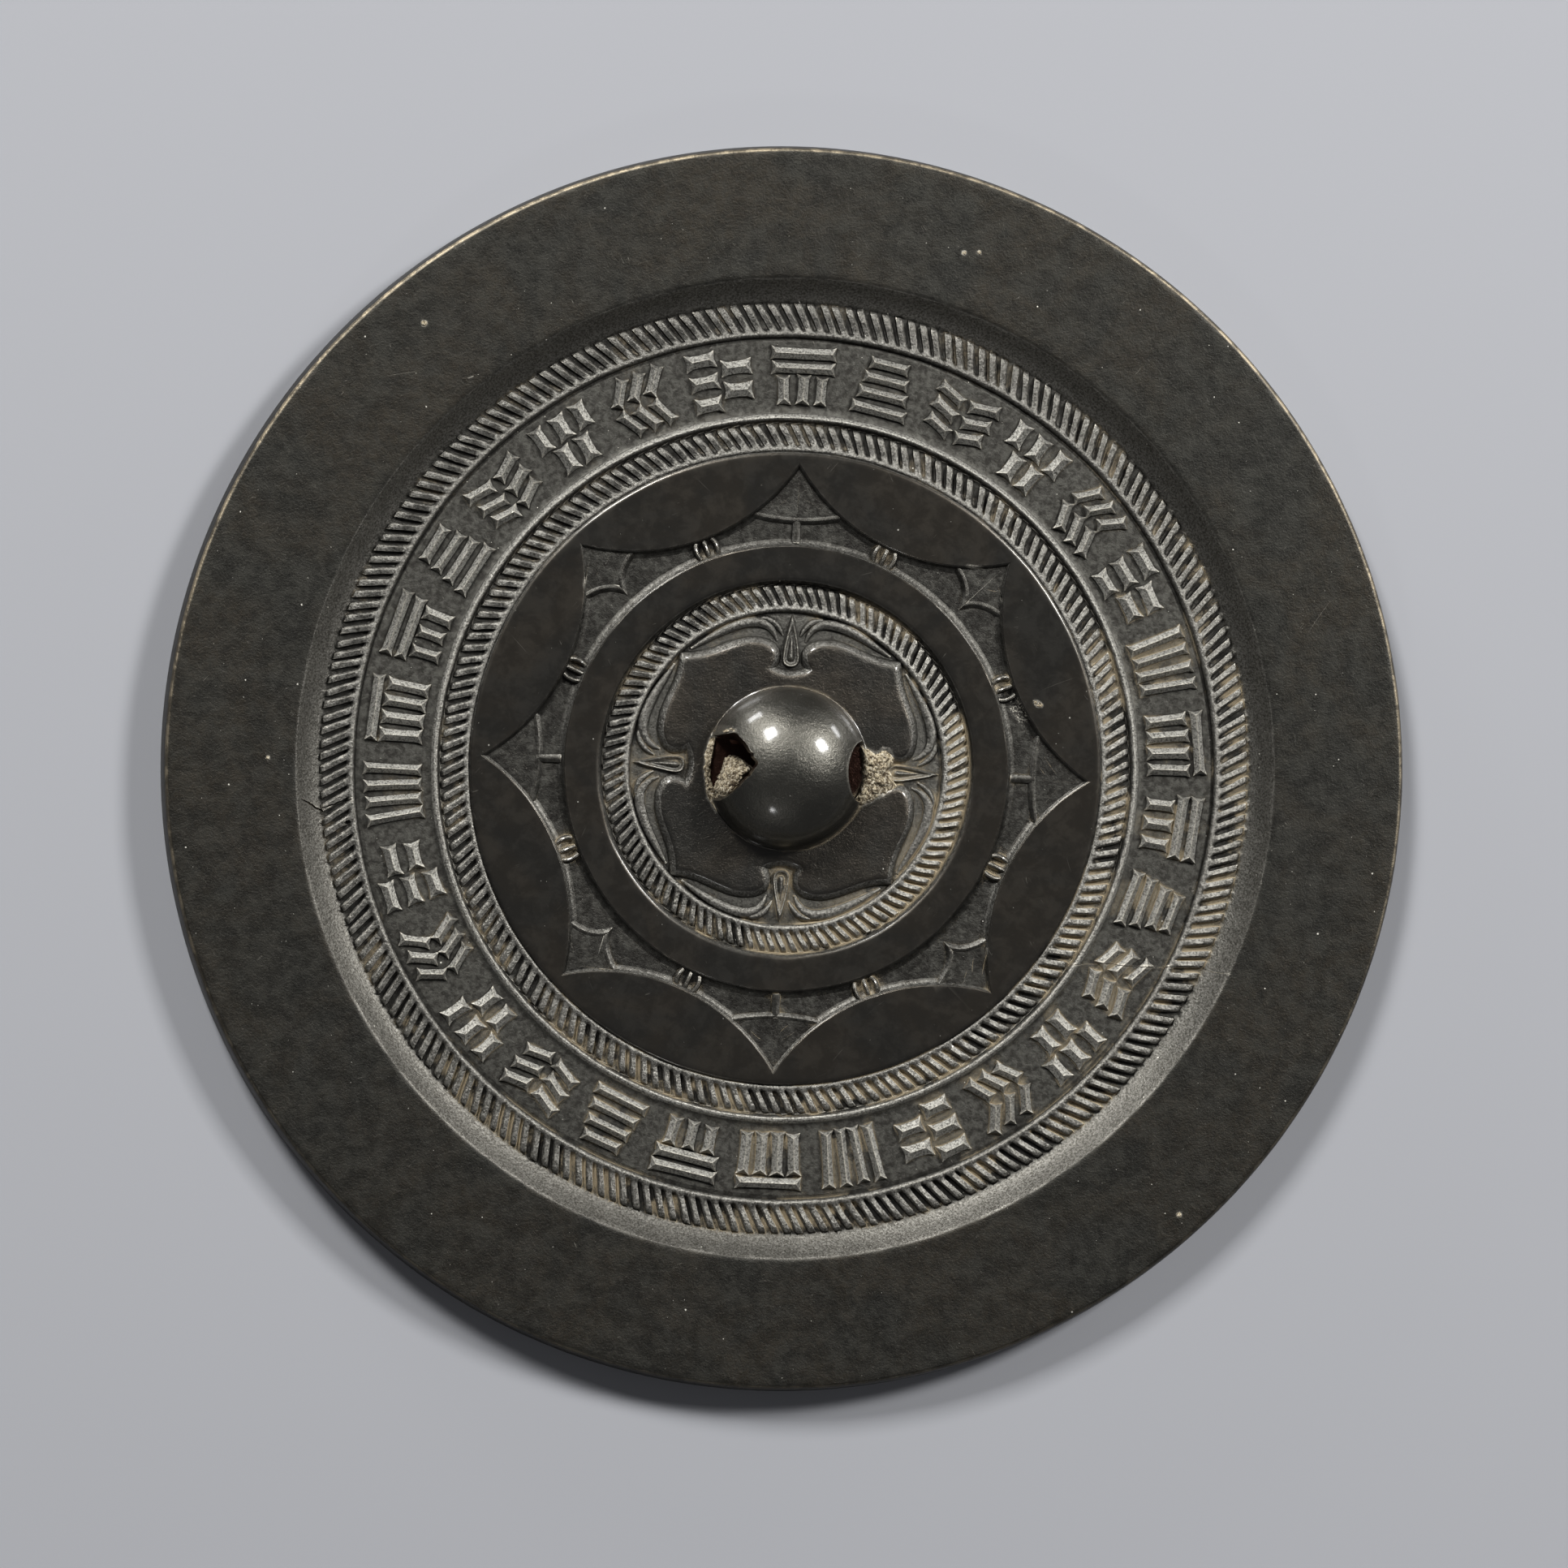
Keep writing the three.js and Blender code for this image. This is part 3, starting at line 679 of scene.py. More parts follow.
block_strokes = []
for block in range(block_count):
    turn = math.pi / 2 - block * 2 * math.pi / block_count
    width, strokes = block_patterns[(block * 5) % len(block_patterns)]
    for stroke in strokes:
        ends = []
        for u, v in (stroke[:2], stroke[2:]):
            radius = block_radius + v * block_half_depth + hand.gauss(0, 0.05)
            angle = turn - u * block_half_width / block_radius + hand.gauss(0, 0.001)
            ends.append(np.array([radius * math.cos(angle), radius * math.sin(angle)]))
        block_strokes.append(wedge_stroke(ends[0], ends[1], width * hand.uniform(0.95, 1.05)))
joined(mirror, block_strokes)

# ---- Old damage ---------------------------------------------------------------------------------
# A hairline crack crosses the combs at the right. At the left a nick in the slope runs on as a
# pitted line over the outer comb. Both are as they came out of the ground.


def slope_height(radius):
    share = (radius - slope_foot) / slope_run
    return slope_rise(min(1.0, share)) if share > 0 else ground


def hairline(corners, width, depth):
    """A wavering cut through points in plan that follows the ground or the slope below it."""
    corners = np.asarray(corners, float)
    steps = np.linspace(0, len(corners) - 1, 6 * (len(corners) - 1) + 1)
    route = np.column_stack([np.interp(steps, np.arange(len(corners)), corners[:, k]) for k in (0, 1)])
    route += [(hand.gauss(0, 0.05), hand.gauss(0, 0.05)) for _ in route]
    points, above = [], 2.2
    swell = np.sin(np.linspace(0.2, math.pi - 0.2, len(route))) ** 0.4
    for place, side, share in zip(route, sides_of(route), swell):
        low, half = slope_height(math.hypot(*place)) - depth * share, side * width * share / 2
        points += [(*place, low), (*(place + half), low + depth), (*(place + half), low + above),
                   (*(place - half), low + above), (*(place - half), low + depth)]
    return skinned(points, 5)


# Points in plan, width and depth: the crack, the nick, the pitted line and a pit beside it.
cracks = [
    ([(37.0, -23.0), (41.5, -22.7), (46.0, -22.95), (50.5, -22.7), (56.8, -23.4)], 0.09, 0.12),
    ([(-60.4, -6.4), (-58.9, -7.2), (-57.2, -8.1)], 0.34, 0.3),
    ([(-57.9, -7.5), (-56.2, -6.8), (-54.0, -6.2)], 0.2, 0.18),
    ([(-54.9, -9.3), (-54.1, -8.9)], 0.5, 0.1)]
for crack in cracks:
    joined(mirror, [hairline(*crack)], "DIFFERENCE")

# ---- Finishing the casting ----------------------------------------------------------------------
# The casting came from its hand-made clay mould slightly uneven: edges waver by a few hundredths of a
# millimetre and the sunk grounds are not quite flat.

casting_sway, casting_lift = 0.05, 0.03
knob_crown = 11.54
# Noise vectors start from the clock unless they are seeded.
noise.seed_set(41)
mesh = mirror.data
count = len(mesh.vertices)
flat = np.empty(count * 3)
mesh.vertices.foreach_get("co", flat)
places = flat.reshape(-1, 3)
for i in range(count):
    x, y, z = places[i]
    if z > 0.5:
        spot = Vector((x, y, z))
        sway = noise.noise_vector(spot * 0.28) + noise.noise_vector(spot * 0.9) * 0.4
        # The outermost edge of the rim stays round, and the plateaus and the rim's top stay level.
        shift = casting_sway * min(1.0, max(0.0, (77.9 - math.hypot(x, y)) / 0.6))
        lift = 0.0 if min(abs(z - plateau), abs(z - rim_top)) < 0.02 else casting_lift
        places[i] = (x + shift * sway[0], y + shift * sway[1], min(z + lift * sway[2], knob_crown))
mesh.vertices.foreach_set("co", (places * MM).ravel())
mesh.update()
edges = bmesh.new()
edges.from_mesh(mesh)
for face in edges.faces:
    face.smooth = True
# Edges stay sharp past a bend in degrees: 50 in the combs, 6 beside broad faces, 28 elsewhere.
for edge in edges.edges:
    radius = math.hypot(*edge.verts[0].co.xy) / MM
    in_comb = any(crest - 0.9 < radius < end + 0.1
                  for crest, end, _ in (inner_comb, middle_comb, outer_comb))
    bend = math.degrees(edge.calc_face_angle(0))
    broad = max(face.calc_area() for face in edge.link_faces) > 0.5 * MM * MM
    edge.smooth = bend < (50 if in_comb else 6 if broad else 28)
edges.to_mesh(mesh)
edges.free()

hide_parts("mirror")
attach(mirror, "root")

# ---- Patina -------------------------------------------------------------------------------------
# Long burial turned the bronze almost black. The plateaus and the knob kept a smooth, glossy skin,
# the sunk grounds are duller and greyer, and tan earth sits in the crevices between the strokes.
# Shade is painted into the hollows, and highlights are painted on crests, on walls that face the
# lamps and on the rim's top arris.


class Bench:
    """Adds nodes to one tree and joins them up."""

    def __init__(self, tree):
        self.tree = tree

    def node(self, kind, settings=None, **inputs):
        made = self.tree.nodes.new(kind)
        for name, value in (settings or {}).items():
            setattr(made, name, value)
        for name, value in inputs.items():
            self.feed(made.inputs[name], value)
        return made

    def feed(self, socket, value):
        if isinstance(value, bpy.types.NodeSocket):
            self.tree.links.new(value, socket)
        else:
            socket.default_value = value

    def calc(self, operation, *values, clamp=False):
        made = self.tree.nodes.new("ShaderNodeMath")
        made.operation, made.use_clamp = operation, clamp
        for socket, value in zip(made.inputs, values):
            self.feed(socket, value)
        return made.outputs[0]

    def times(self, first, second):
        return self.calc("MULTIPLY", first, second)

    def plus(self, first, second):
        return self.calc("ADD", first, second)

    def minus(self, first, second):
        return self.calc("SUBTRACT", first, second)

    def squares(self, first, second):
        """The square of one value plus the square of another."""
        return self.plus(self.times(first, first), self.times(second, second))

    def ramp(self, value, low, high, start=0.0, end=1.0):
        """A smooth step of a value between two limits."""
        made = self.tree.nodes.new("ShaderNodeMapRange")
        made.interpolation_type = "SMOOTHSTEP"
        for socket, given in zip(made.inputs, (value, low, high, start, end)):
            self.feed(socket, given)
        return made.outputs[0]

    def mix(self, share, first, second):
        made = self.tree.nodes.new("ShaderNodeMix")
        made.data_type = "RGBA"
        self.feed(made.inputs["Factor"], share)
        for socket, value in ((made.inputs[6], first), (made.inputs[7], second)):
            self.feed(socket, (*value, 1) if isinstance(value, tuple) and len(value) == 3 else value)
        return made.outputs[2]

    def coats(self, colour, *coats):
        """Lays coats of (share, colour) over a first colour, one after another."""
        for share, coat in coats:
            colour = self.mix(share, colour, coat)
        return colour

    def place(self, stretch=(1, 1, 1), turn=0.0):
        """The point on the mirror, in millimetres, stretched or turned about the knob."""
        spot = self.tree.nodes.new("ShaderNodeTexCoord").outputs["Object"]
        mapping = self.tree.nodes.new("ShaderNodeMapping")
        mapping.vector_type = "TEXTURE"
        mapping.inputs["Scale"].default_value = [MM / share for share in stretch]
        mapping.inputs["Rotation"].default_value = (0, 0, turn)
        self.tree.links.new(spot, mapping.inputs["Vector"])
        return mapping.outputs[0]

    def noise(self, place, size, detail=3.0, rough=0.55, distort=0.0):
        """Soft noise whose patches are about size millimetres across."""
        made = self.node("ShaderNodeTexNoise", Vector=place, Scale=1.0 / size, Detail=detail,
                         Roughness=rough, Distortion=distort)
        return made.outputs["Fac"]


def effect(name, inputs, outputs):
    """An empty node group of masks: returns it, its bench, its inputs and its outlets."""
    group = bpy.data.node_groups.new(name, "ShaderNodeTree")
    for label, value in inputs.items():
        group.interface.new_socket(
            label, in_out="INPUT", socket_type="NodeSocketFloat").default_value = value
    for label in outputs:
        group.interface.new_socket(label, in_out="OUTPUT", socket_type="NodeSocketFloat")
    bench = Bench(group)
    return group, bench, bench.node("NodeGroupInput").outputs, bench.node("NodeGroupOutput").inputs


def casting_zones():
    """Masks for the parts of the casting, from the distance to its axis and the height on it."""
    group, b, _, out = effect("casting_zones", {}, (
        "Plateau", "Rim", "Slope", "Knob", "Strokes", "Outer Comb", "Star", "Calyx", "Calyx Ground",
        "Arris", "Steep Walls Facing Lamps", "Blocks", "Upper", "Abraded", "Bore", "Reflecting Face", "Lower Right"))
    spot = b.node("ShaderNodeSeparateXYZ", Vector=b.place()).outputs
    x, y, z = spot[0], spot[1], spot[2]
    radius = b.calc("SQRT", b.squares(x, y))
    inside = b.ramp(radius, 39.75, 39.55)
    b.feed(out["Plateau"], b.times(b.ramp(z, 2.98, 3.08), inside))
    b.feed(out["Rim"], b.ramp(radius, 61.1, 61.5))
    b.feed(out["Slope"], b.times(b.ramp(radius, 58.2, 58.8), b.ramp(radius, 61.4, 61.1)))
    b.feed(out["Knob"], b.times(b.ramp(radius, 10.6, 10.2), b.ramp(z, 3.2, 3.4)))
    star = b.times(b.ramp(radius, 23.1, 23.4), b.ramp(radius, 39.8, 39.6))
    strokes = b.times(b.ramp(z, 2.26, 2.5), b.ramp(radius, 58.6, 58.1))
    b.feed(out["Strokes"], b.times(strokes, b.minus(1.0, star)))
    b.feed(out["Outer Comb"], b.ramp(radius, 53.4, 54.0))
    b.feed(out["Star"], b.times(star, b.ramp(z, 3.06, 2.96)))
    b.feed(out["Calyx Ground"], b.times(b.ramp(radius, 19.6, 19.2), b.ramp(z, 2.75, 2.3)))
    b.feed(out["Calyx"], b.ramp(radius, 19.3, 19.0))
    # Painted light: steep walls, kept pale where they face +Y toward the lamps and dimmed where they face
    # away.
    normal = b.node("ShaderNodeTexCoord").outputs["Normal"]
    facing = b.node("ShaderNodeSeparateXYZ", Vector=normal).outputs
    b.feed(out["Steep Walls Facing Lamps"], b.times(b.ramp(facing[2], 0.97, 0.8),
                               b.ramp(facing[1], -0.15, 0.2, 0.1, 1.0)))
    b.feed(out["Blocks"], b.times(b.ramp(radius, 43.6, 44.2), b.ramp(radius, 54.0, 53.4)))
    b.feed(out["Upper"], b.ramp(y, -5.0, 50.0))
    # The walls of the cord hole and of the broken mouth lie under the dome's skin.
    flat_share = b.calc("DIVIDE", radius, knob_radius)
    high_share = b.calc("DIVIDE", b.minus(z, plateau), knob_height)
    b.feed(out["Bore"], b.ramp(b.squares(flat_share, high_share), 0.95, 0.87))
    # A rubbed and pitted patch beside the neck bars on the right.
    away = b.calc("SQRT", b.squares(b.minus(x, 29.5), b.minus(y, 8.8)))
    ragged = b.plus(away, b.times(b.noise(b.place(), 0.7, 4.0, 0.7), 3.0))
    b.feed(out["Abraded"], b.times(b.ramp(ragged, 3.3, 2.7), b.ramp(z, 3.1, 2.9)))
    # The rim's top arris: a painted highlight with wear, fading toward -Y away from the lamps.
    arris = b.times(b.ramp(radius, 76.95, 77.3), b.ramp(z, 4.3, 4.75))
    b.feed(out["Arris"], b.times(arris, b.ramp(y, -70.0, 50.0, 0.15, 1.0)))
    b.feed(out["Reflecting Face"], b.ramp(z, 0.35, 0.1))
    b.feed(out["Lower Right"], b.ramp(b.minus(b.times(x, 0.7), y), -60.0, 60.0))
    return group


def burial_mottle():
    """Mottling of the burial skin: clouds, blotches, fine grain, streaks and rare pale specks."""
    group, b, given, out = effect("burial_mottle", {"Blotch Size": 2.0}, (
        "Clouds", "Blotches", "Grain", "Streaks", "Specks"))
    place = b.place()
    b.feed(out["Clouds"], b.ramp(b.noise(place, 11.0, 4.0, 0.6, 0.6), 0.36, 0.66))
    blotch = b.node("ShaderNodeTexNoise", Vector=place, Detail=5.0, Roughness=0.68, Distortion=0.3,
                    Scale=b.calc("DIVIDE", 1.0, given["Blotch Size"]))
    b.feed(out["Blotches"], b.ramp(blotch.outputs["Fac"], 0.34, 0.68))
    b.feed(out["Grain"], b.noise(place, 0.26, 3.0, 0.7))
    b.feed(out["Streaks"], b.noise(b.place((1, 1, 0.5)), 0.62, 5.0, 0.8))
    specks = None
    for closeness, rarity in ((0.62, 0.86), (1.5, 0.9)):
        cells = b.node("ShaderNodeTexVoronoi", {"feature": "F1"},
                       Vector=place, Scale=closeness, Randomness=1.0)
        tint = b.node("ShaderNodeSeparateColor", Color=cells.outputs["Color"]).outputs
        grain_radius = b.calc("MULTIPLY_ADD", tint[1], 0.045, 0.03)
        near = b.calc("LESS_THAN", cells.outputs["Distance"], grain_radius)
        found = b.times(b.calc("GREATER_THAN", tint[0], rarity), near)
        specks = found if specks is None else b.calc("MAXIMUM", specks, found)
    b.feed(out["Specks"], specks)
    return group


def crevice_earth_and_shade():
    """How much earth has packed into the corners of the relief, broken up into patches, and a painted shade
    mask for the hollows.
    """
    group, b, given, out = effect("crevice_earth_and_shade", {"Reach": 1.0, "Amount": 0.5}, (
        "Earth", "Crevice Shade"))
    hollow = b.node("ShaderNodeAmbientOcclusion", {"samples": 4},
                    Distance=b.times(given["Reach"], MM))
    shade = b.minus(1.0, hollow.outputs["AO"])
    # Painted shade: how occluded each spot is, used to darken the hollows.
    b.feed(out["Crevice Shade"], shade)
    place = b.place()
    patches = b.ramp(b.noise(place, 7.0, 3.0, 0.6), 0.36, 0.62)
    crumbs = b.noise(place, 0.33, 4.0, 0.75)
    level = b.plus(b.times(patches, 0.55), b.times(crumbs, 0.7))
    level = b.times(b.times(level, b.ramp(shade, 0.1, 0.5)), given["Amount"])
    b.feed(out["Earth"], b.ramp(level, 0.3, 0.5))
    return group


def edge_rub_and_highlight():
    """Crests and arrises made brighter, read from how far they stand proud: rubbed wear and a painted
    highlight.
    """
    group, b, given, out = effect("edge_rub_and_highlight", {"Reach": 0.35}, ("Rub And Highlight",))
    proud = b.node("ShaderNodeAmbientOcclusion", {"samples": 4, "inside": True},
                   Distance=b.times(given["Reach"], MM))
    broken = b.noise(b.place(), 0.6, 4.0, 0.7)
    level = b.plus(b.minus(1.0, proud.outputs["AO"]), b.times(broken, 0.35))
    b.feed(out["Rub And Highlight"], b.ramp(level, 0.4, 0.7))
    return group


def hair_scratches():
    """Fine stray scratches: thin threads cut from stretched noise, kept only here and there."""
    group, b, given, out = effect("hair_scratches", {"Amount": 0.5}, ("Scratches",))
    kept = None
    for turn, seed in ((0.5, 3.1), (1.9, 7.7), (-0.7, 12.3)):
        moved = b.node("ShaderNodeVectorMath", {"operation": "ADD"}, Vector=b.place((1.0, 0.05, 0.3), turn))
        moved.inputs[1].default_value = (seed, seed, 0)
        thread = b.noise(moved.outputs[0], 0.8, 1.0, 0.5, 0.6)
        thread = b.ramp(b.calc("ABSOLUTE", b.minus(thread, 0.5)), 0.004, 0.0)
        where = b.ramp(b.noise(b.place((1, 1, 1), seed), 2.6, 2.0), 0.66, 0.72)
        thread = b.times(thread, where)
        kept = thread if kept is None else b.calc("MAXIMUM", kept, thread)
    # Longer single scratches: where the middle lies, how they lean, and half their length.
    for x, y, lean, half in ((33.8, 12.2, 0.4, 2.6), (36.0, -10.5, 1.9, 1.1), (-34.0, 14.0, -0.8, 1.6),
                             (-25.0, -9.0, 1.2, 0.8), (9.0, 24.8, 0.3, 0.9), (-12.0, 35.0, 2.4, 1.3),
                             (8.0, -35.5, 0.9, 1.2), (66.0, 22.0, 1.0, 3.0), (-50.0, 47.0, 0.2, 2.2)):
        c, s = math.cos(lean), math.sin(lean)
        spot = b.node("ShaderNodeSeparateXYZ", Vector=b.place()).outputs
        east, north = b.minus(spot[0], x), b.minus(spot[1], y)
        run = b.plus(b.times(east, c), b.times(north, s))
        off = b.minus(b.times(north, c), b.times(east, s))
        off = b.plus(off, b.times(b.times(run, run), 0.012))
        thread = b.times(b.ramp(b.calc("ABSOLUTE", off), 0.05, 0.015, 0.0, 0.35),
                       b.ramp(b.calc("ABSOLUTE", run), half, half * 0.4))
        kept = b.calc("MAXIMUM", kept, thread)
    b.feed(out["Scratches"], b.times(kept, given["Amount"]))
    return group


zones_group, mottle_group, earth_and_shade_group = casting_zones(), burial_mottle(), crevice_earth_and_shade()
rub_and_highlight_group, scratch_group = edge_rub_and_highlight(), hair_scratches()

plateau_black = (0.0325, 0.0305, 0.0262)
plateau_brown = (0.0450, 0.0380, 0.0290)
knob_bronze = (0.053, 0.0505, 0.0425)
rim_olive = (0.0340, 0.0328, 0.0278)
rim_dark = (0.0140, 0.0135, 0.0120)
rim_brown = (0.0300, 0.0248, 0.0180)
sunk_grey = (0.064, 0.062, 0.054)
sunk_dark = (0.023, 0.0215, 0.0185)
# Near black: dark patina blotches on the star floor, and painted shade in the hollows.
black_patina_and_crevice_shade = (0.010, 0.009, 0.008)
bore_brown = (0.024, 0.011, 0.0075)
stroke_grey = (0.205, 0.198, 0.178)
block_grey = (0.300, 0.292, 0.262)
calyx_grey = (0.082, 0.079, 0.069)
stroke_dark = (0.055, 0.052, 0.045)
slope_grey = (0.138, 0.132, 0.117)
slope_dark = (0.048, 0.045, 0.038)
# Pale bronze: rubbed wear, scratches and the abraded patch, and a painted highlight on crests.
rubbed_bronze_and_highlight = (0.50, 0.47, 0.40)
# Gold of the rim's arris: wear and a painted highlight.
gold_wear_and_highlight = (0.27, 0.225, 0.155)
tan_earth = (0.23, 0.185, 0.115)
pale_speck = (0.50, 0.48, 0.42)
face_silver = (0.155, 0.158, 0.145)
face_tarnish = (0.052, 0.050, 0.044)
face_corrosion = (0.075, 0.105, 0.080)

dark_patina, patina_shader = new_material("dark_patina")
patina = Bench(dark_patina.node_tree)


def placed(bench, group, **inputs):
    made = bench.tree.nodes.new("ShaderNodeGroup")
    made.node_tree = group
    for name, value in inputs.items():
        bench.feed(made.inputs[name.replace("_", " ")], value)
    return made.outputs


zones = placed(patina, zones_group)
mottle = placed(patina, mottle_group, Blotch_Size=2.6)
fine_mottle = placed(patina, mottle_group, Blotch_Size=0.8)
earth_and_shade = placed(patina, earth_and_shade_group, Reach=1.1, Amount=patina.ramp(zones["Lower Right"], 0.0, 1.0, 0.4, 0.66))
rub_and_highlight = placed(patina, rub_and_highlight_group, Reach=0.4)
scratches = placed(patina, scratch_group, Amount=1.0)

grain, fine_blotches = mottle["Grain"], fine_mottle["Blotches"]
streaks = patina.plus(patina.times(fine_mottle["Grain"], 0.6),
                     patina.times(mottle["Streaks"], 0.4))
stroke_coat = patina.coats(
    patina.mix(patina.ramp(streaks, 0.4, 0.6), stroke_dark, stroke_grey),
    (patina.times(zones["Outer Comb"], 0.15), sunk_dark),
    (patina.times(zones["Upper"], 0.3), sunk_dark),
    (patina.times(zones["Blocks"], patina.ramp(grain, 0.36, 0.6, 0.1, 0.8)), block_grey),
    (patina.times(zones["Calyx"], 0.42), sunk_dark))
plateau_coat = patina.mix(patina.times(mottle["Clouds"], 0.7), plateau_black, plateau_brown)
slope_coat = patina.mix(patina.ramp(grain, 0.35, 0.65), slope_dark, slope_grey)
brown_clouds = patina.times(mottle["Clouds"], patina.ramp(fine_blotches, 0.0, 1.0, 0.25, 0.6))
rim_coat = patina.coats(
    patina.mix(patina.ramp(grain, 0.3, 0.7, 0.0, 0.5), rim_dark, rim_olive),
    (patina.times(mottle["Blotches"], 0.6), rim_olive),
    (brown_clouds, rim_brown))
face_coat = patina.coats(
    patina.mix(mottle["Clouds"], face_silver, face_tarnish),
    (patina.ramp(fine_mottle["Clouds"], 0.7, 0.95, 0.0, 0.7), face_corrosion),
    (patina.ramp(mottle["Blotches"], 0.75, 0.95), face_tarnish))

star_shade = patina.times(zones["Star"], patina.ramp(mottle["Blotches"], 0.0, 1.0, 0.55, 0.1))
# Painted light: the star's steep walls take the pale stroke colour where they face the lamps.
star_wall_painted_light = patina.times(zones["Star"], patina.times(zones["Steep Walls Facing Lamps"], 0.7))
calyx_bloom = patina.times(zones["Calyx Ground"], patina.ramp(grain, 0.4, 0.6, 0.1, 1.0))
# Painted highlight and wear: a gold line on the rim's arris, broken up by blotches.
arris_wear_and_highlight = patina.times(zones["Arris"], patina.ramp(mottle["Blotches"], 0.2, 0.8, 0.3, 0.95))
# Crests brightened by rubbed wear and by a painted highlight.
rubbed_and_highlit_crests = patina.times(rub_and_highlight["Rub And Highlight"], patina.ramp(grain, 0.3, 0.6, 0.3, 0.75))
abraded = patina.times(zones["Abraded"], patina.ramp(fine_mottle["Grain"], 0.5, 0.58, 0.0, 0.6))
skin = patina.coats(
    patina.mix(fine_blotches, sunk_dark, sunk_grey),
    (zones["Strokes"], stroke_coat),
    (star_shade, black_patina_and_crevice_shade),
    (star_wall_painted_light, stroke_coat),
    (calyx_bloom, calyx_grey),
    (zones["Plateau"], plateau_coat),
    (zones["Knob"], knob_bronze),
    (zones["Slope"], slope_coat),
    (zones["Rim"], rim_coat),
    # Painted highlight with wear on the rim's top arris.
    (arris_wear_and_highlight, gold_wear_and_highlight),
    # Painted shade: occluded hollows and the gaps between strokes darken almost to black.
    (patina.ramp(earth_and_shade["Crevice Shade"], 0.12, 0.62, 0.0, 0.88), black_patina_and_crevice_shade),
    # Painted highlight with rubbed wear on crests and arrises, weaker on the calyx.
    (patina.times(rubbed_and_highlit_crests, patina.ramp(zones["Calyx"], 0.0, 1.0, 1.0, 0.45)), rubbed_bronze_and_highlight),
    (patina.times(scratches["Scratches"], 0.3), rubbed_bronze_and_highlight),
    (abraded, rubbed_bronze_and_highlight),
    (zones["Bore"], bore_brown),
    (earth_and_shade["Earth"], tan_earth),
    (mottle["Specks"], pale_speck),
    (zones["Reflecting Face"], face_coat))
patina.feed(patina_shader.inputs["Base Color"], skin)

bare_roughness = patina.plus(patina.ramp(zones["Plateau"], 0.0, 1.0, 0.46, 0.33),
                            patina.ramp(mottle["Blotches"], 0.0, 1.0, -0.02, 0.05))
stroke_roughness = patina.plus(bare_roughness, patina.times(zones["Blocks"], 0.1))
patina.feed(patina_shader.inputs["Roughness"], patina.calc(
    "ADD", stroke_roughness, patina.times(earth_and_shade["Earth"], 0.4), clamp=True))
metal = patina.times(patina.minus(1.0, earth_and_shade["Earth"]), 0.92)
patina.feed(patina_shader.inputs["Metallic"], metal)
patina_shader.inputs["Coat Roughness"].default_value = 0.13
coated = patina.times(zones["Plateau"], patina.minus(1.0, zones["Bore"]))
patina.feed(patina_shader.inputs["Coat Weight"], patina.times(coated, 0.45))

coarse = patina.plus(patina.ramp(zones["Plateau"], 0.0, 1.0, 1.0, 0.1), zones["Strokes"])
tooth = patina.plus(patina.times(grain, coarse),
                   patina.times(fine_blotches, patina.times(coarse, 0.35)))
relief = patina.node("ShaderNodeBump", Strength=0.55, Distance=0.09 * MM, Height=tooth)
patina.feed(patina_shader.inputs["Normal"], relief.outputs["Normal"])
mesh.materials.clear()
mesh.materials.append(dark_patina)

# ---- Burial earth at the cord hole --------------------------------------------------------------
# Pale granular earth has set hard in the broken left mouth and along its lip, and it spills from the
# right mouth over the leaves as far as the bud. It was never cleaned out of the hole.

burial_earth, soil_shader = new_material("burial_earth")
soil = Bench(burial_earth.node_tree)
soil_shader.inputs["Roughness"].default_value = 0.93
soil_shader.inputs["Specular IOR Level"].default_value = 0.2
soil_place = soil.place()
lumps, crumbs = soil.noise(soil_place, 0.8, 3.0, 0.6), soil.noise(soil_place, 0.36, 4.0, 0.7)
sand = soil.noise(soil_place, 0.11, 2.0)
damp_earth, dry_earth = (0.075, 0.054, 0.030), (0.30, 0.25, 0.165)
pale_crumb, dark_pit = (0.46, 0.42, 0.33), (0.022, 0.015, 0.009)
soil.feed(soil_shader.inputs["Base Color"], soil.coats(
    soil.mix(soil.ramp(lumps, 0.38, 0.6), damp_earth, dry_earth),
    (soil.ramp(crumbs, 0.48, 0.68), pale_crumb),
    (soil.ramp(crumbs, 0.49, 0.38), dark_pit)))
soil_height = soil.plus(crumbs, soil.times(sand, 0.5))
soil.feed(soil_shader.inputs["Normal"], soil.node(
    "ShaderNodeBump", Strength=1.0, Distance=0.32 * MM, Height=soil_height).outputs["Normal"])


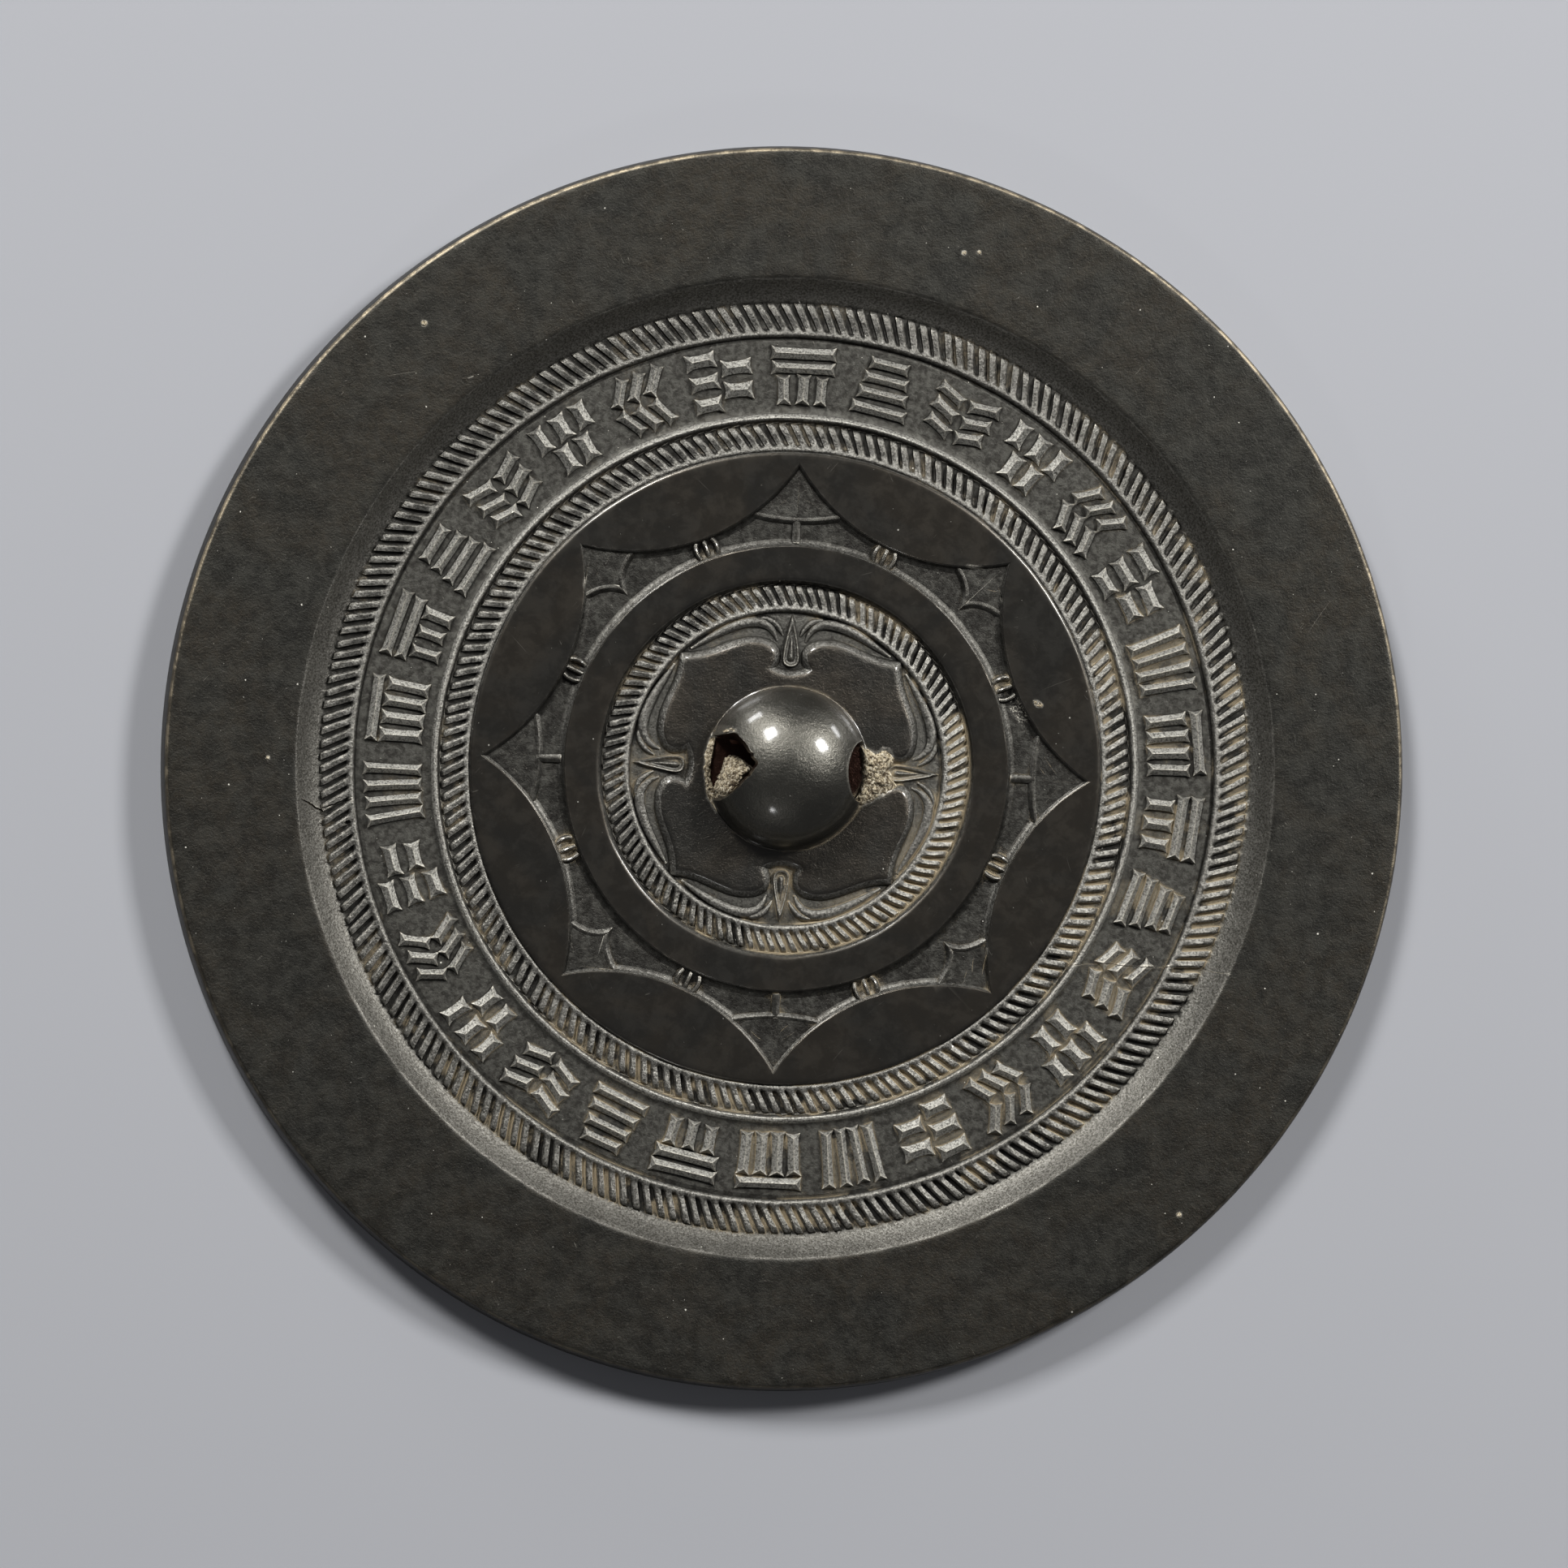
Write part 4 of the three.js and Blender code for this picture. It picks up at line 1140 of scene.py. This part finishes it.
def earth_crust(name, outline, middle, height_at, foot=plateau - 0.25, rings=34, columns=140):
    """A lump of earth: an outline in plan seen from a point inside it, and a height at each place."""
    sunk = foot - 0.2
    outline, middle = np.asarray(outline, float), np.asarray(middle, float)
    after = np.roll(outline, -1, axis=0)
    if (outline[:, 0] * after[:, 1] - outline[:, 1] * after[:, 0]).sum() < 0:
        outline = outline[::-1]
    rim_line = resampled(np.vstack([outline, outline[:1]]), columns, endpoint=False)
    points = []
    for step in range(1, rings + 1):
        share = (step / rings) ** 0.85
        for place in middle + (rim_line - middle) * share:
            spot = Vector((*place, 1.7))
            ragged = 0.3 * noise.noise(spot * 1.9) + 0.2 * noise.noise(spot * 5.1)
            ragged = ragged * min(1.0, columns / 100)
            place = place + (place - middle) / max(np.linalg.norm(place - middle), 0.2) * ragged * share
            fall = max(0.0, 1 - share ** 3.5)
            lump = 0.3 * noise.noise(spot * 1.5) + 0.26 * noise.noise(spot * 3.9)
            lump += 0.2 * abs(noise.noise(spot * 6.5)) + 0.1 * noise.noise(spot * 12.0)
            top = foot + (height_at(*place) + lump - foot) * fall
            points.append((*place, max(top, foot)))
    points += [(*place, sunk) for place in middle + (rim_line - middle) * 0.97]
    points += [(*middle, height_at(*middle)), (*middle, sunk)]
    faces, peak, under = [], len(points) - 2, len(points) - 1
    for i in range(columns):
        j = (i + 1) % columns
        faces.append((peak, i, j))
        for step in range(rings):
            a, c = step * columns, (step + 1) * columns
            faces.append((a + i, c + i, c + j, a + j))
        faces.append((under, rings * columns + j, rings * columns + i))
    crust = solid(name, np.array(points) * MM, faces)
    for polygon in crust.data.polygons:
        polygon.use_smooth = True
    crust.data.materials.append(burial_earth)
    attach(crust, "root")


def dome_height(x, y):
    return plateau + knob_height * math.sqrt(max(0.0, 1 - (x * x + y * y) / knob_radius ** 2))


def mouth_fill(x, y):
    """Banked up against the lower edge of the broken mouth and low toward the open side."""
    from_edge = ((x + 4.3) * -5.25 + (y - 0.1) * 3.9) / 6.54
    return plateau + 0.7 + max(0.0, min(4.6, 4.9 - 1.45 * from_edge, dome_height(x, y) - plateau - 1.0))


earth_crust("earth_in_left_mouth", [
    (-4.2, -0.1), (-5.3, 1.0), (-6.7, 1.75), (-7.9, 1.5), (-8.3, -0.4), (-8.8, -1.9), (-9.4, -3.4),
    (-8.9, -4.9), (-8.1, -5.5), (-7.0, -4.4), (-5.7, -2.5)], (-7.0, -1.6), mouth_fill)
earth_crust("earth_on_left_lip", [
    (-8.9, 4.4), (-9.8, 3.6), (-10.1, 2.4), (-10.45, 1.3), (-10.2, 0.1), (-10.45, -0.9), (-10.1, -2.4),
    (-9.9, -3.9), (-9.2, -5.0), (-8.4, -6.2), (-8.2, -5.1), (-8.9, -3.6), (-9.3, -2.0), (-9.5, 0.0),
    (-9.1, 2.4)], (-9.85, -0.8), lambda x, y: plateau + 0.85)
earth_crust("earth_on_upper_lip", [
    (-9.3, 4.3), (-8.4, 5.0), (-7.3, 5.05), (-6.3, 4.8), (-5.6, 4.1), (-5.9, 3.8), (-6.7, 4.1), (-7.8, 4.0),
    (-9.0, 3.8)], (-7.4, 4.45), lambda x, y: dome_height(x, y) + 0.05,
    foot=plateau + 0.3, rings=20, columns=100)
earth_crust("earth_at_right_mouth", [
    (9.0, 3.6), (10.0, 3.0), (11.3, 2.5), (12.1, 3.3), (13.3, 2.9), (13.5, 1.6), (12.9, 0.5), (13.3, -0.6),
    (14.0, -1.6), (13.2, -2.3), (12.2, -2.9), (10.9, -3.8), (9.6, -4.5), (8.0, -4.2), (8.9, -3.2),
    (9.5, -0.8), (9.3, 1.6)], (11.2, -0.5), lambda x, y: plateau + 1.15 - 0.24 * (x - 9.3))
# A flake by the neck bars on the right.
earth_crust("earth_on_right_arc", [
    (30.6, 9.9), (31.2, 10.0), (32.0, 9.4), (31.8, 9.0), (31.0, 9.1)], (31.3, 9.5),
    lambda x, y: plateau + 0.1, foot=plateau - 0.05, rings=10, columns=40)
# Single grains that stayed on the rim, with their sizes.
rim_grains = ((-47.7, 53.3, 0.42), (19.3, 65.4, 0.3), (21.2, 65.5, 0.28), (51.6, -53.7, 0.34),
              (-64.7, -1.5, 0.26))
for number, (x, y, size) in enumerate(rim_grains, 1):
    earth_crust(f"earth_grain_{number}", circle(size, 10) + (x, y), (x, y),
                lambda x, y: rim_top + 0.12, foot=rim_top - 0.04, rings=5, columns=20)
